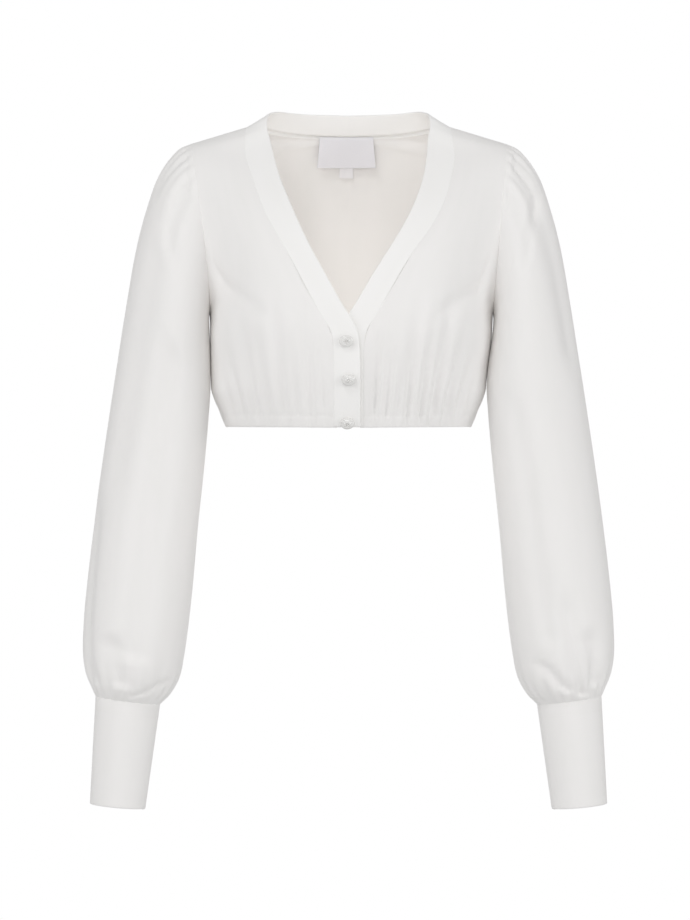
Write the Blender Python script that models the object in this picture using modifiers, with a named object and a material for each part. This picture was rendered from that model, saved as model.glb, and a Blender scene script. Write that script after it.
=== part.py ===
"""Dirndl blouse, cropped, with long bishop sleeves, as it hangs when worn.

Each piece that is cut and sewn is one solid: an outer surface worked out from
short tables of sections, given its cloth thickness on the inside.

Tables are in millimetres. +Z is up, the front faces -Y, and the wearer's left
is +X. The origin is midway between the two places where the neck band crosses
the shoulder seams.
"""

import math
from collections import namedtuple

import bmesh
import bpy
from mathutils import Matrix, Vector

MM = 0.001

# Cloth
CLOTH = 1.2              # one layer of crepe with its seam allowances
DOUBLED = 2.4            # neck band, placket and cuffs are folded double
LABEL_CLOTH = 1.0
SEAM_GAP = 0.3           # kept between two pieces that are sewn together
WELD = 0.00001           # metres, closes a tube along its sewn edge

# Grid of each piece: columns across, rows come from the tables
FRONT_COLUMNS = 28
BACK_COLUMNS = 28        # from the centre back to one side
SLEEVE_COLUMNS = 36
CUFF_COLUMNS = 24
BAND_COLUMNS = 3
LABEL_COLUMNS = 5

# Gathers
FRONT_GATHERS = 7
BACK_GATHERS = 7         # in each half of the back
HEAD_GATHERS = 6         # over the top half of a sleeve head
HEAD_SPREAD = 1.35       # how far round from the shoulder tip they keep their depth
CUFF_GATHERS = 9         # round the foot of a sleeve
CUFF_DRIFT = 0.3         # radians by which those wander
DRIFT = 0.25             # share of a gather by which the hem's wander along a row
DRIFT_RATE = 1.7         # wanders in one row
UNEVEN = 0.22            # share by which their depths differ
UNEVEN_RATE = 2.3
BAND_REST = 0.07         # shares of a row over which they run out at its two ends
SIDE_REST = 0.18
FRONT_SEEDS = {-1: 0.8, 1: 0.3}
BACK_SEEDS = {-1: 0.6, 1: 0.1}

# Hem, shoulder and armhole
HEM_Z = -301.2
SHOULDER_TIP = Vector((158.5, 3.0, -18.0))
UNDERARM_Z = -188.0
ARMHOLE_DEPTH = 53.0     # half of the armhole from front to back
ARMHOLE_EGG = 0.15       # how much fuller the armhole is low down
EASE_TOP_Z = -195.0      # the wider left side falls back to the table below this
EASE_FALL = 70.0

# Front lap
LAP = 3.4                # the right band stands this far in front of the left
LAP_FULL_Z = -178.0
LAP_NONE_Z = -120.0
BOW_Z = -80.0            # the left side of the V bows outwards most here
BOW_REACH = 38.0
BOW_START = 30.0         # and starts over this drop below the shoulder

Side = namedtuple("Side", "name sign underarm_x armhole_turn bow lap")
RIGHT = Side("right", -1, 139.0, 0.085, 0.0, LAP)
LEFT = Side("left", 1, 144.5, 0.030, 7.5, 0.0)
SIDES = (RIGHT, LEFT)

# The neck band from the centre back over the shoulder and down to the hem. The
# seam is where it is sewn to the body, the edge is its folded free edge.
Station = namedtuple("Station", "run seam_x seam_y seam_z edge_x edge_y edge_z")
BAND = (
    Station(0, 0.0, 66.0, -9.0, 0.0, 58.0, 15.5),
    Station(1, 45.7, 61.0, -7.3, 40.5, 53.0, 16.2),
    Station(2, 82.8, 40.0, -3.7, 67.5, 34.0, 17.3),
    Station(3, 101.0, 4.0, -0.7, 80.3, 2.0, 11.9),
    Station(4, 102.6, -13.0, -9.0, 81.4, -9.0, 1.0),
    Station(5, 102.1, -28.0, -28.2, 77.6, -22.0, -16.8),
    Station(6, 93.2, -54.0, -58.8, 70.2, -47.0, -46.4),
    Station(7, 79.4, -80.0, -94.9, 56.4, -76.0, -82.9),
    Station(8, 58.5, -100.0, -132.2, 40.0, -96.0, -119.3),
    Station(9, 40.4, -110.0, -166.7, 21.4, -107.0, -154.4),
    Station(10, 26.2, -113.0, -193.1, 6.8, -112.0, -180.9),
    Station(11, 17.0, -114.0, -208.7, -3.9, -114.0, -198.3),
    Station(12, 13.9, -113.0, -224.2, -10.2, -113.5, -214.5),
    Station(13, 13.6, -110.0, -247.4, -11.6, -111.0, -245.5),
    Station(14, 13.5, -103.0, -276.5, -11.6, -103.2, -276.5),
    Station(15, 13.6, -94.0, -302.8, -11.6, -94.0, -302.8),
)
SHOULDER_RUN = 3
SHOULDER_SLIT = 0.008    # runs left open at the shoulder on either side

# The side seam, from the hem up to the underarm
SidePoint = namedtuple("SidePoint", "z x y")
SIDE_SEAM = (
    SidePoint(-301.2, 122.5, -5.0),
    SidePoint(-292.0, 126.5, -4.5),
    SidePoint(-284.0, 129.5, -4.0),
    SidePoint(-274.0, 134.0, -3.0),
    SidePoint(-262.0, 137.3, -2.0),
    SidePoint(-228.0, 138.2, 1.0),
    SidePoint(-200.0, 138.5, 2.5),
    SidePoint(-188.0, 139.0, 3.0),
)

# Rows of a front, from the hem up to the shoulder seam. Each runs from the band
# (run) to the side seam (edge 0 to 1) or the armhole (edge 1 to 2). The turns
# are the directions, in degrees towards the front, in which it leaves its two
# ends, and the pulls are how far it keeps them, as shares of its span.
FrontRow = namedtuple("FrontRow", "run edge seam_turn edge_turn seam_pull edge_pull")
FRONT = (
    FrontRow(15.0, 0.000, 1.0, 90.0, 0.46, 0.40),
    FrontRow(14.0, 0.227, 2.0, 90.0, 0.47, 0.43),
    FrontRow(13.0, 0.480, 4.0, 90.0, 0.48, 0.47),
    FrontRow(12.0, 0.684, 6.0, 90.0, 0.49, 0.50),
    FrontRow(11.0, 0.820, 7.5, 90.0, 0.50, 0.51),
    FrontRow(10.0, 1.000, 8.0, 86.0, 0.50, 0.50),
    FrontRow(9.0, 1.267, 7.0, 62.0, 0.42, 0.42),
    FrontRow(8.0, 1.409, 5.0, 46.0, 0.38, 0.38),
    FrontRow(7.0, 1.542, 2.0, 34.0, 0.35, 0.35),
    FrontRow(6.0, 1.669, 0.0, 24.0, 0.34, 0.34),
    FrontRow(5.0, 1.800, 0.0, 14.0, 0.34, 0.34),
    FrontRow(4.0, 1.896, 1.0, 5.0, 0.34, 0.34),
    FrontRow(3.0, 2.000, 1.0, -1.0, 0.34, 0.34),
)
FRONT_LEVELS = (15.0, 14.62, 14.3, 13.85, 13.3, 12.65, 12.0, 11.3, 10.6, 10.0, 9.0, 8.0, 7.0,
                6.0, 5.0, 4.0, 3.07, 3.0)

# Rows of one half of the back, from the hem up. Each starts on the centre back
# or, in the last three, on the neck seam, and ends as a front's row does.
BackRow = namedtuple(
    "BackRow", "level x y z edge inner_turn edge_turn inner_pull edge_pull fall")
BACK = (
    BackRow(0, 0.0, 80.0, -300.8, 0.000, 0.0, 90.0, 0.48, 0.40, 0.20),
    BackRow(1, 0.0, 83.0, -276.5, 0.227, 0.0, 90.0, 0.48, 0.42, 0.20),
    BackRow(2, 0.0, 86.0, -247.4, 0.480, 0.0, 90.0, 0.48, 0.43, 0.20),
    BackRow(3, 0.0, 88.0, -224.2, 0.684, 0.0, 90.0, 0.48, 0.43, 0.20),
    BackRow(4, 0.0, 90.0, -190.0, 1.000, 0.0, 86.0, 0.46, 0.42, 0.20),
    BackRow(5, 0.0, 92.0, -158.0, 1.267, 0.0, 60.0, 0.42, 0.38, 0.20),
    BackRow(6, 0.0, 91.0, -125.0, 1.409, 0.0, 46.0, 0.40, 0.36, 0.20),
    BackRow(7, 0.0, 88.0, -90.0, 1.520, 0.0, 38.0, 0.38, 0.35, 0.18),
    BackRow(8, 0.0, 80.0, -50.0, 1.630, 0.0, 31.0, 0.37, 0.34, 0.16),
    BackRow(9, 0.0, 66.0, -9.0, 1.730, 0.0, 24.0, 0.36, 0.34, 0.20),
    BackRow(10, 45.7, 61.0, -7.3, 1.830, 1.0, 15.0, 0.35, 0.34, 0.30),
    BackRow(11, 82.8, 40.0, -3.7, 1.920, 1.0, 6.0, 0.34, 0.34, 0.33),
    BackRow(12, 101.0, 4.0, -0.7, 2.000, -1.0, 1.0, 0.34, 0.34, 0.34),
)
NECK_LEVEL = 9
BACK_LEVELS = (0.0, 0.38, 0.7, 1.15, 1.75, 2.5, 3.3, 4.0, 5.5, 7.0, 8.0, 9.0, 9.5, 10.0, 11.0,
               11.93, 12.0)

# How deep the hem's gathers are at each height above it. The elastic pinches
# them at the casing line.
GatherDepth = namedtuple("GatherDepth", "height depth")
HEM_GATHERS = (
    GatherDepth(0.0, 1.5),
    GatherDepth(10.0, 1.2),
    GatherDepth(22.0, 3.0),
    GatherDepth(40.0, 2.6),
    GatherDepth(65.0, 1.4),
    GatherDepth(92.0, 0.5),
    GatherDepth(114.0, 0.0),
)

# Rings of a sleeve from the armhole down to the cuff: its outermost and its
# innermost point, and half its depth from front to back.
Ring = namedtuple("Ring", "ring out_x out_y out_z in_x in_y in_z depth")
SLEEVE = (
    Ring(0, 158.5, 3.0, -18.0, 139.0, 3.0, -188.0, 53.0),
    Ring(1, 168.0, 3.0, -22.0, 139.6, 0.0, -193.0, 55.0),
    Ring(2, 180.0, 3.0, -34.0, 139.1, -4.0, -200.0, 57.0),
    Ring(3, 191.0, 2.0, -52.0, 138.5, -9.0, -209.0, 58.0),
    Ring(4, 201.5, 1.0, -82.0, 137.8, -14.0, -221.0, 58.0),
    Ring(5, 211.5, 0.0, -120.0, 137.3, -19.0, -237.0, 57.0),
    Ring(6, 221.3, -1.0, -175.0, 137.3, -22.0, -260.0, 56.0),
    Ring(7, 232.0, -3.0, -244.0, 139.2, -22.0, -292.0, 54.0),
    Ring(8, 243.0, -6.0, -318.0, 143.5, -20.0, -340.0, 53.0),
    Ring(9, 252.0, -10.0, -384.0, 150.0, -19.0, -402.0, 52.0),
    Ring(10, 259.3, -14.0, -446.0, 155.3, -19.0, -462.0, 52.0),
    Ring(11, 263.5, -17.0, -492.0, 160.0, -20.0, -504.0, 52.0),
    Ring(12, 264.5, -18.0, -520.0, 163.8, -20.0, -530.0, 51.0),
    Ring(13, 262.2, -19.0, -543.0, 167.5, -20.5, -549.0, 48.0),
    Ring(14, 256.0, -20.0, -560.0, 176.5, -21.0, -566.0, 40.0),
    Ring(15, 251.7, -20.0, -569.0, 187.5, -21.0, -577.0, 29.5),
)
HEAD_END_RING = 6        # the armhole's egg shape and turn are gone by here
SLEEVE_LEVELS = (0.0, 0.3, 1.0, 2.0, 3.0, 4.0, 5.0, 6.0, 7.0, 8.5, 10.0, 11.2, 12.3, 13.2, 14.0,
                 15.0)

# How deep the gathers of a sleeve are at each ring
SleeveGather = namedtuple("SleeveGather", "ring head foot")
SLEEVE_GATHERS = (
    SleeveGather(0, 0.0, 0.0),
    SleeveGather(1, 1.8, 0.0),
    SleeveGather(2, 1.6, 0.0),
    SleeveGather(4, 0.6, 0.0),
    SleeveGather(6, 0.0, 0.0),
    SleeveGather(11, 0.0, 0.0),
    SleeveGather(13, 0.0, 1.8),
    SleeveGather(14, 0.0, 2.0),
    SleeveGather(15, 0.0, 0.7),
)

# The largest folds of each sleeve: soft troughs from one ring and angle to
# another. Angles run from the outer side (0) over the front (90) to the body.
Fold = namedtuple("Fold", "sleeve ring_a angle_a ring_b angle_b depth width")
FOLDS = (
    Fold("right", 6.2, 98.0, 12.0, 90.0, 4.0, 13.0),
    Fold("right", 1.2, 62.0, 4.5, 70.0, 3.0, 12.0),
    Fold("right", 11.6, 62.0, 13.6, 78.0, 4.0, 14.0),
    Fold("left", 0.8, 44.0, 6.0, 30.0, 5.0, 14.0),
    Fold("left", 10.6, 82.0, 14.2, 66.0, 4.0, 10.0),
    Fold("left", 11.6, 50.0, 13.4, 42.0, 4.0, 14.0),
    Fold("right", 7.0, 262.0, 12.5, 272.0, 4.0, 14.0),
    Fold("left", 5.0, 255.0, 11.5, 268.0, 4.0, 14.0),
)
FOLD_FADE = 0.7          # rings over which a trough runs out at each end

# Cuff, from the sleeve's foot to its lower edge
CUFF_TOP = SLEEVE[-1]
CUFF_FOOT = Ring(16, 257.2, -23.0, -675.5, 202.0, -24.0, -680.5, 25.5)
CUFF_LEVELS = (0.0, 0.11, 0.5, 1.0)

# Buttons, on the right placket, measured down the band
ButtonPlace = namedtuple("ButtonPlace", "name run across")
BUTTONS = (
    ButtonPlace("button_1", 11.74, 0.49),
    ButtonPlace("button_2", 13.32, 0.55),
    ButtonPlace("button_3", 14.85, 0.49),
)
BUTTON_WIDTH = 14.6
BUTTON_HEIGHT = 12.2
BUTTON_RISE = 4.6
BUTTON_BACK = 0.18       # flat back, as a share of the rise

# Label and size tab at the back neck, hanging inside the back
NeckPoint = namedtuple("NeckPoint", "z y")
BACK_PROFILE = (
    NeckPoint(16.0, 58.0),
    NeckPoint(-9.0, 66.0),
    NeckPoint(-50.0, 80.0),
    NeckPoint(-90.0, 88.0),
)
BACK_CROWN = 0.00247     # fall of the back per square millimetre off its centre
Tab = namedtuple("Tab", "name centre_x top_width foot_width top_z foot_z top_off foot_off")
LABEL = Tab("neck_label", -2.0, 54.0, 59.5, -6.3, -37.2, DOUBLED + 3 * SEAM_GAP, 5.4)
SIZE_TAB = Tab("size_tab", -2.2, 14.0, 14.0, -31.0, -47.2, 2.6, 3.2)

WHITE = (0.86, 0.85, 0.835)
PEARL = (0.80, 0.79, 0.76)
LABEL_WHITE = (0.78, 0.77, 0.80)
CLOTH_ROUGHNESS = 0.85
PEARL_ROUGHNESS = 0.25
SHARP_ANGLE = math.radians(50)


def clear_scene():
    for item in list(bpy.data.objects):
        bpy.data.objects.remove(item, do_unlink=True)


def ramp(value):
    """0 to 1 with soft ends, for a value that runs from 0 to 1."""
    value = min(max(value, 0.0), 1.0)
    return value * value * (3.0 - 2.0 * value)


def slopes(keys, values):
    """Slopes at a table's rows that keep its curve from overshooting."""
    steps = [(values[i + 1] - values[i]) / (keys[i + 1] - keys[i]) for i in range(len(keys) - 1)]
    result = [steps[0]]
    for before, after in zip(steps, steps[1:]):
        same_way = before * after > 0.0
        result.append(2.0 * before * after / (before + after) if same_way else 0.0)
    result.append(steps[-1])
    return result


def read(table, column, key):
    """A table's column at any key, on a smooth curve through its rows."""
    rows = sorted(table)
    keys = [row[0] for row in rows]
    values = [getattr(row, column) for row in rows]
    key = min(max(key, keys[0]), keys[-1])
    i = max(k for k in range(len(keys) - 1) if keys[k] <= key)
    width = keys[i + 1] - keys[i]
    t = (key - keys[i]) / width
    tangent = slopes(keys, values)
    return ((2 * t ** 3 - 3 * t ** 2 + 1) * values[i]
            + (t ** 3 - 2 * t ** 2 + t) * width * tangent[i]
            + (3 * t ** 2 - 2 * t ** 3) * values[i + 1]
            + (t ** 3 - t ** 2) * width * tangent[i + 1])


def bezier(a, b, c, d, t):
    """A point on a cubic curve from a to d."""
    s = 1.0 - t
    return a * s ** 3 + b * 3 * s * s * t + c * 3 * s * t * t + d * t ** 3


def mirrored(point, side):
    """A point worked out for the wearer's left, put on its own side."""
    return Vector((side.sign * point.x, point.y, point.z))


def left_bow(side, z):
    """How far a side of the V stands outwards at a height."""
    return side.bow * math.exp(-0.5 * ((z - BOW_Z) / BOW_REACH) ** 2) * ramp(-z / BOW_START)


def lap_forward(side, z):
    """How far a side of the front stands forward to lap over the other."""
    return side.lap * ramp((LAP_NONE_Z - z) / (LAP_NONE_Z - LAP_FULL_Z))


def band_line(side, run, line):
    """A point of the band's seam or edge, in the positive side's frame."""
    x = read(BAND, line + "_x", abs(run))
    y = read(BAND, line + "_y", abs(run))
    z = read(BAND, line + "_z", abs(run))
    if run > SHOULDER_RUN:
        x += left_bow(side, z)
        y -= lap_forward(side, z)
    return Vector((x, y, z))


def armhole_point(side, angle, half):
    """A point of the armhole: angle 0 at the shoulder tip, pi at the underarm.

    half is -1 for its front half and 1 for its back half.
    """
    share = 0.5 * (1.0 - math.cos(angle))
    depth = ARMHOLE_DEPTH * math.sin(angle) * (1.0 - ARMHOLE_EGG * math.cos(angle))
    x = SHOULDER_TIP.x + (side.underarm_x - SHOULDER_TIP.x) * share
    x += side.armhole_turn * half * depth
    z = SHOULDER_TIP.z + (UNDERARM_Z - SHOULDER_TIP.z) * share
    return Vector((x, SHOULDER_TIP.y + half * depth, z))


def side_ease(side, z):
    """Extra half width of a side, full at the underarm and gone above the hem."""
    extra = side.underarm_x - SIDE_SEAM[-1].x
    return extra * (1.0 - ramp((EASE_TOP_Z - z) / EASE_FALL))


def outer_edge(side, edge, half):
    """A panel's outer edge: 0 to 1 up the side seam, 1 to 2 up the armhole."""
    if edge > 1.0:
        return armhole_point(side, math.pi * (2.0 - edge), half)
    z = HEM_Z + (UNDERARM_Z - HEM_Z) * edge
    x = read(SIDE_SEAM, "x", z) + side_ease(side, z)
    return Vector((x, read(SIDE_SEAM, "y", z), z))


def heading(turn, way_x, way_y):
    """A level direction, turned by an angle from X towards Y."""
    angle = math.radians(turn)
    return Vector((way_x * math.cos(angle), way_y * math.sin(angle), 0.0))


def gather_wave(u, count, seed):
    """Uneven waves along a row, resting at its two seams."""
    drift = DRIFT * math.sin(2 * math.pi * (DRIFT_RATE * u + seed))
    size = 1.0 - UNEVEN + UNEVEN * math.sin(2 * math.pi * (UNEVEN_RATE * u + 0.5 * seed))
    rest = ramp(u / BAND_REST) * ramp((1.0 - u) / SIDE_REST)
    return rest * size * math.cos(2 * math.pi * (count * u + drift))


def row_point(ends, pulls, turns, u, half, fall=1.0 / 3.0):
    """A point on a panel's row, and the level direction out of the cloth there."""
    step = 0.002
    start, end = ends
    span = math.hypot(end.x - start.x, end.y - start.y)
    leave = start + heading(turns[0], 1, half) * span * pulls[0]
    arrive = end + heading(turns[1], -1, half) * span * pulls[1]
    leave.z = start.z + (end.z - start.z) * fall
    arrive.z = start.z + (end.z - start.z) * 2.0 / 3.0
    point = bezier(start, leave, arrive, end, u)
    ahead = bezier(start, leave, arrive, end, min(u + step, 1.0))
    behind = bezier(start, leave, arrive, end, max(u - step, 0.0))
    along = ahead - behind
    out = Vector((-along.y * half, along.x * half, 0.0)).normalized()
    return point, out


def seam_inset(point, toward, amount):
    """A point moved along a row, away from the seam that it lies on."""
    way = toward - point
    return point + way.normalized() * amount


def front_point(side, u, run):
    """The outer surface of a front: u from its band to its side, run up the band."""
    half = -1
    start = band_line(side, run, "seam")
    end = outer_edge(side, read(FRONT, "edge", run), half)
    start_in = seam_inset(start, end, SEAM_GAP)
    end_in = seam_inset(end, start, SEAM_GAP)
    pulls = (read(FRONT, "seam_pull", run), read(FRONT, "edge_pull", run))
    turns = (read(FRONT, "seam_turn", run), read(FRONT, "edge_turn", run))
    point, out = row_point((start_in, end_in), pulls, turns, u, half)
    height = point.z - HEM_Z
    depth = read(HEM_GATHERS, "depth", height)
    point += out * depth * gather_wave(u, FRONT_GATHERS, FRONT_SEEDS[side.sign])
    point.y -= 0.5 * SEAM_GAP * ramp((u - 0.5) * 2.0)
    if run == SHOULDER_RUN:
        point.y -= 0.5 * SEAM_GAP
    return mirrored(point, side)


def back_point(side, u, level):
    """The outer surface of half the back: u from the middle to the side."""
    half = 1
    start = Vector((read(BACK, "x", level), read(BACK, "y", level), read(BACK, "z", level)))
    end = outer_edge(side, read(BACK, "edge", level), half)
    start_in = start
    if level > NECK_LEVEL:
        start = band_line(side, level - NECK_LEVEL, "seam")
        start_in = seam_inset(start, end, SEAM_GAP)
    if level == NECK_LEVEL:
        start_in = start - Vector((0.0, 0.0, SEAM_GAP))
    end_in = seam_inset(end, start, SEAM_GAP)
    pulls = (read(BACK, "inner_pull", level), read(BACK, "edge_pull", level))
    turns = (read(BACK, "inner_turn", level), read(BACK, "edge_turn", level))
    point, out = row_point((start_in, end_in), pulls, turns, u, half, read(BACK, "fall", level))
    height = point.z - HEM_Z
    depth = read(HEM_GATHERS, "depth", height)
    point += out * depth * gather_wave(u, BACK_GATHERS, BACK_SEEDS[side.sign])
    if level == BACK[-1].level:
        point.y += 0.5 * SEAM_GAP
    return mirrored(point, side)


def fold_depth(side, ring, angle):
    """How far the sleeve's troughs sink at a ring and angle."""
    total = 0.0
    for fold in FOLDS:
        if fold.sleeve != side.name:
            continue
        share = (ring - fold.ring_a) / (fold.ring_b - fold.ring_a)
        middle = fold.angle_a + (fold.angle_b - fold.angle_a) * min(max(share, 0.0), 1.0)
        ends = ramp((ring - fold.ring_a) / FOLD_FADE + 0.5)
        ends *= ramp((fold.ring_b - ring) / FOLD_FADE + 0.5)
        away = (angle - middle + 180.0) % 360.0 - 180.0
        total += fold.depth * ends * math.exp(-0.5 * (away / fold.width) ** 2)
    return total


def sleeve_point(side, u, ring):
    """The outer surface of a sleeve: u once round it from its outermost point."""
    angle = 2.0 * math.pi * u
    turned = 1.0 - ramp(ring / HEAD_END_RING)
    outer = Vector([read(SLEEVE, "out_" + axis, ring) for axis in "xyz"])
    inner = Vector([read(SLEEVE, "in_" + axis, ring) for axis in "xyz"])
    inner.x += side_ease(side, inner.z)
    depth = read(SLEEVE, "depth", ring) * (1.0 - ARMHOLE_EGG * turned * math.cos(angle))
    across = Vector((-side.armhole_turn * turned, -1.0, 0.0)) * depth
    middle = (outer + inner) * 0.5
    point = middle + (outer - inner) * 0.5 * math.cos(angle) + across * math.sin(angle)
    out = (outer - inner).normalized() * math.cos(angle) + Vector((0.0, -1.0, 0.0)) * math.sin(angle)
    on_top = ramp(HEAD_SPREAD * math.cos(angle))
    head = read(SLEEVE_GATHERS, "head", ring) * on_top * math.cos(2 * HEAD_GATHERS * angle)
    wander = CUFF_DRIFT * math.sin(2.0 * angle + side.sign)
    foot = read(SLEEVE_GATHERS, "foot", ring) * math.cos(CUFF_GATHERS * angle + wander)
    point += out * (head + foot - fold_depth(side, ring, math.degrees(angle)))
    if ring == 0:
        point.x += SEAM_GAP
    return mirrored(point, side)


def cuff_point(side, u, share):
    """The outer surface of a cuff: u once round it, share from its top down."""
    angle = 2.0 * math.pi * u
    top = Vector((CUFF_TOP.out_x, CUFF_TOP.out_y, CUFF_TOP.out_z - SEAM_GAP))
    top_in = Vector((CUFF_TOP.in_x, CUFF_TOP.in_y, CUFF_TOP.in_z - SEAM_GAP))
    foot = Vector((CUFF_FOOT.out_x, CUFF_FOOT.out_y, CUFF_FOOT.out_z))
    foot_in = Vector((CUFF_FOOT.in_x, CUFF_FOOT.in_y, CUFF_FOOT.in_z))
    outer = top.lerp(foot, share)
    inner = top_in.lerp(foot_in, share)
    depth = CUFF_TOP.depth + (CUFF_FOOT.depth - CUFF_TOP.depth) * share
    point = (outer + inner) * 0.5 + (outer - inner) * 0.5 * math.cos(angle)
    point += Vector((0.0, -depth, 0.0)) * math.sin(angle)
    return mirrored(point, side)


def band_point(side, u, run):
    """The outer surface of the band: u from its seam to its free edge."""
    seam = band_line(side, run, "seam")
    edge = band_line(side, run, "edge")
    return mirrored(seam.lerp(edge, u), side)


def cloth_grid(columns, levels, place):
    """A flat grid whose points are moved to where place puts them."""
    bm = bmesh.new()
    rows = len(levels) - 1
    bmesh.ops.create_grid(bm, x_segments=columns, y_segments=rows, size=0.5)
    for vert in bm.verts:
        row = round((vert.co.y + 0.5) * rows)
        vert.co = place(vert.co.x + 0.5, levels[row]) * MM
    return bm


def new_material(name, colour, roughness):
    material = bpy.data.materials.new(name)
    material.use_nodes = True
    shader = material.node_tree.nodes["Principled BSDF"]
    shader.inputs["Base Color"].default_value = (*colour, 1.0)
    shader.inputs["Roughness"].default_value = roughness
    shader.inputs["Metallic"].default_value = 0.0
    return material


def add_piece(name, bm, collection, colour=WHITE, roughness=CLOTH_ROUGHNESS):
    mesh = bpy.data.meshes.new(name)
    bm.to_mesh(mesh)
    bm.free()
    mesh.shade_smooth()
    mesh.set_sharp_from_angle(angle=SHARP_ANGLE)
    mesh.materials.append(new_material(name + "_material", colour, roughness))
    piece = bpy.data.objects.new(name, mesh)
    collection.objects.link(piece)
    return piece


def add_cloth(name, bm, thickness, inside_out, collection, colour=WHITE):
    """A piece of cloth: an open surface that gets its thickness on the inside."""
    if inside_out:
        bmesh.ops.reverse_faces(bm, faces=bm.faces)
    piece = add_piece(name, bm, collection, colour)
    wall = piece.modifiers.new("Wall", "SOLIDIFY")
    wall.thickness = thickness * MM
    wall.offset = -1.0
    return piece


def build_fronts(collection):
    for side in SIDES:
        bm = cloth_grid(FRONT_COLUMNS, FRONT_LEVELS, lambda u, run: front_point(side, u, run))
        add_cloth("front_" + side.name, bm, CLOTH, side.sign < 0, collection)


def build_back(collection):
    """Two halves that share their points down the centre back."""
    whole = bmesh.new()
    for side in SIDES:
        bm = cloth_grid(BACK_COLUMNS, BACK_LEVELS, lambda u, level: back_point(side, u, level))
        if side.sign > 0:
            bmesh.ops.reverse_faces(bm, faces=bm.faces)
        half = bpy.data.meshes.new("back_half")
        bm.to_mesh(half)
        bm.free()
        whole.from_mesh(half)
        bpy.data.meshes.remove(half)
    bmesh.ops.remove_doubles(whole, verts=whole.verts, dist=WELD)
    add_cloth("back_panel", whole, CLOTH, False, collection)


def build_bands(collection):
    neck_runs = [level - NECK_LEVEL for level in BACK_LEVELS if level >= NECK_LEVEL]
    neck_runs[-1] -= SHOULDER_SLIT
    back_runs = [-run for run in reversed(neck_runs[1:])] + neck_runs
    front_runs = list(reversed(FRONT_LEVELS))
    front_runs[0] += SHOULDER_SLIT

    def back_place(u, run):
        return band_point(LEFT if run > 0 else RIGHT, u, run)

    bm = cloth_grid(BAND_COLUMNS, back_runs, back_place)
    add_cloth("band_back", bm, DOUBLED, False, collection)
    for side in SIDES:
        bm = cloth_grid(BAND_COLUMNS, front_runs, lambda u, run: band_point(side, u, run))
        add_cloth("band_" + side.name, bm, DOUBLED, side.sign < 0, collection)


def build_sleeves(collection):
    for side in SIDES:
        bm = cloth_grid(SLEEVE_COLUMNS, SLEEVE_LEVELS, lambda u, ring: sleeve_point(side, u, ring))
        bmesh.ops.remove_doubles(bm, verts=bm.verts, dist=WELD)
        add_cloth("sleeve_" + side.name, bm, CLOTH, side.sign < 0, collection)
        bm = cloth_grid(CUFF_COLUMNS, CUFF_LEVELS, lambda u, share: cuff_point(side, u, share))
        bmesh.ops.remove_doubles(bm, verts=bm.verts, dist=WELD)
        add_cloth("cuff_" + side.name, bm, DOUBLED, side.sign < 0, collection)


def build_buttons(collection):
    """Domed buttons, each lying flat on the right placket."""
    step = 0.05
    for place in BUTTONS:
        seat = band_point(RIGHT, place.across, place.run)
        down = band_point(RIGHT, place.across, place.run + step) - seat
        across = band_point(RIGHT, place.across + step, place.run) - seat
        out = down.cross(across).normalized()
        bm = bmesh.new()
        bmesh.ops.create_uvsphere(bm, u_segments=16, v_segments=6, radius=1.0)
        half = Vector((0.5 * BUTTON_WIDTH, 0.5 * BUTTON_HEIGHT, BUTTON_RISE)) * MM
        for vert in bm.verts:
            vert.co.z = max(vert.co.z, -BUTTON_BACK)
            vert.co = Vector((vert.co.x * half.x, vert.co.y * half.y, vert.co.z * half.z))
        bmesh.ops.dissolve_degenerate(bm, dist=WELD, edges=bm.edges)
        button = add_piece(place.name, bm, collection, PEARL, PEARL_ROUGHNESS)
        turn = Vector((1.0, 0.0, 0.0))
        turn = (turn - out * turn.dot(out)).normalized()
        up = out.cross(turn)
        button.rotation_mode = "QUATERNION"
        button.rotation_quaternion = Matrix((turn, up, out)).transposed().to_quaternion()
        button.location = (seat + out * (SEAM_GAP + BUTTON_BACK * BUTTON_RISE)) * MM


def build_labels(collection):
    """The label and its tab, each bowed as the back is and hanging off it."""
    for tab in (LABEL, SIZE_TAB):
        def place(u, share, tab=tab):
            width = tab.top_width + (tab.foot_width - tab.top_width) * share
            x = tab.centre_x + (u - 0.5) * width
            z = tab.top_z + (tab.foot_z - tab.top_z) * share
            off = tab.top_off + (tab.foot_off - tab.top_off) * share
            y = read(BACK_PROFILE, "y", z) - BACK_CROWN * x * x - off
            return Vector((x, y, z))

        bm = cloth_grid(LABEL_COLUMNS, (0.0, 0.5, 1.0), place)
        add_cloth(tab.name, bm, LABEL_CLOTH, False, collection, LABEL_WHITE)


def main():
    clear_scene()
    collection = bpy.data.collections.new("dirndl_blouse")
    bpy.context.scene.collection.children.link(collection)
    build_back(collection)
    build_fronts(collection)
    build_bands(collection)
    build_sleeves(collection)
    build_buttons(collection)
    build_labels(collection)


main()
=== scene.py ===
import math

import bmesh
import bpy
import numpy as np
from mathutils import Matrix, Vector


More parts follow.
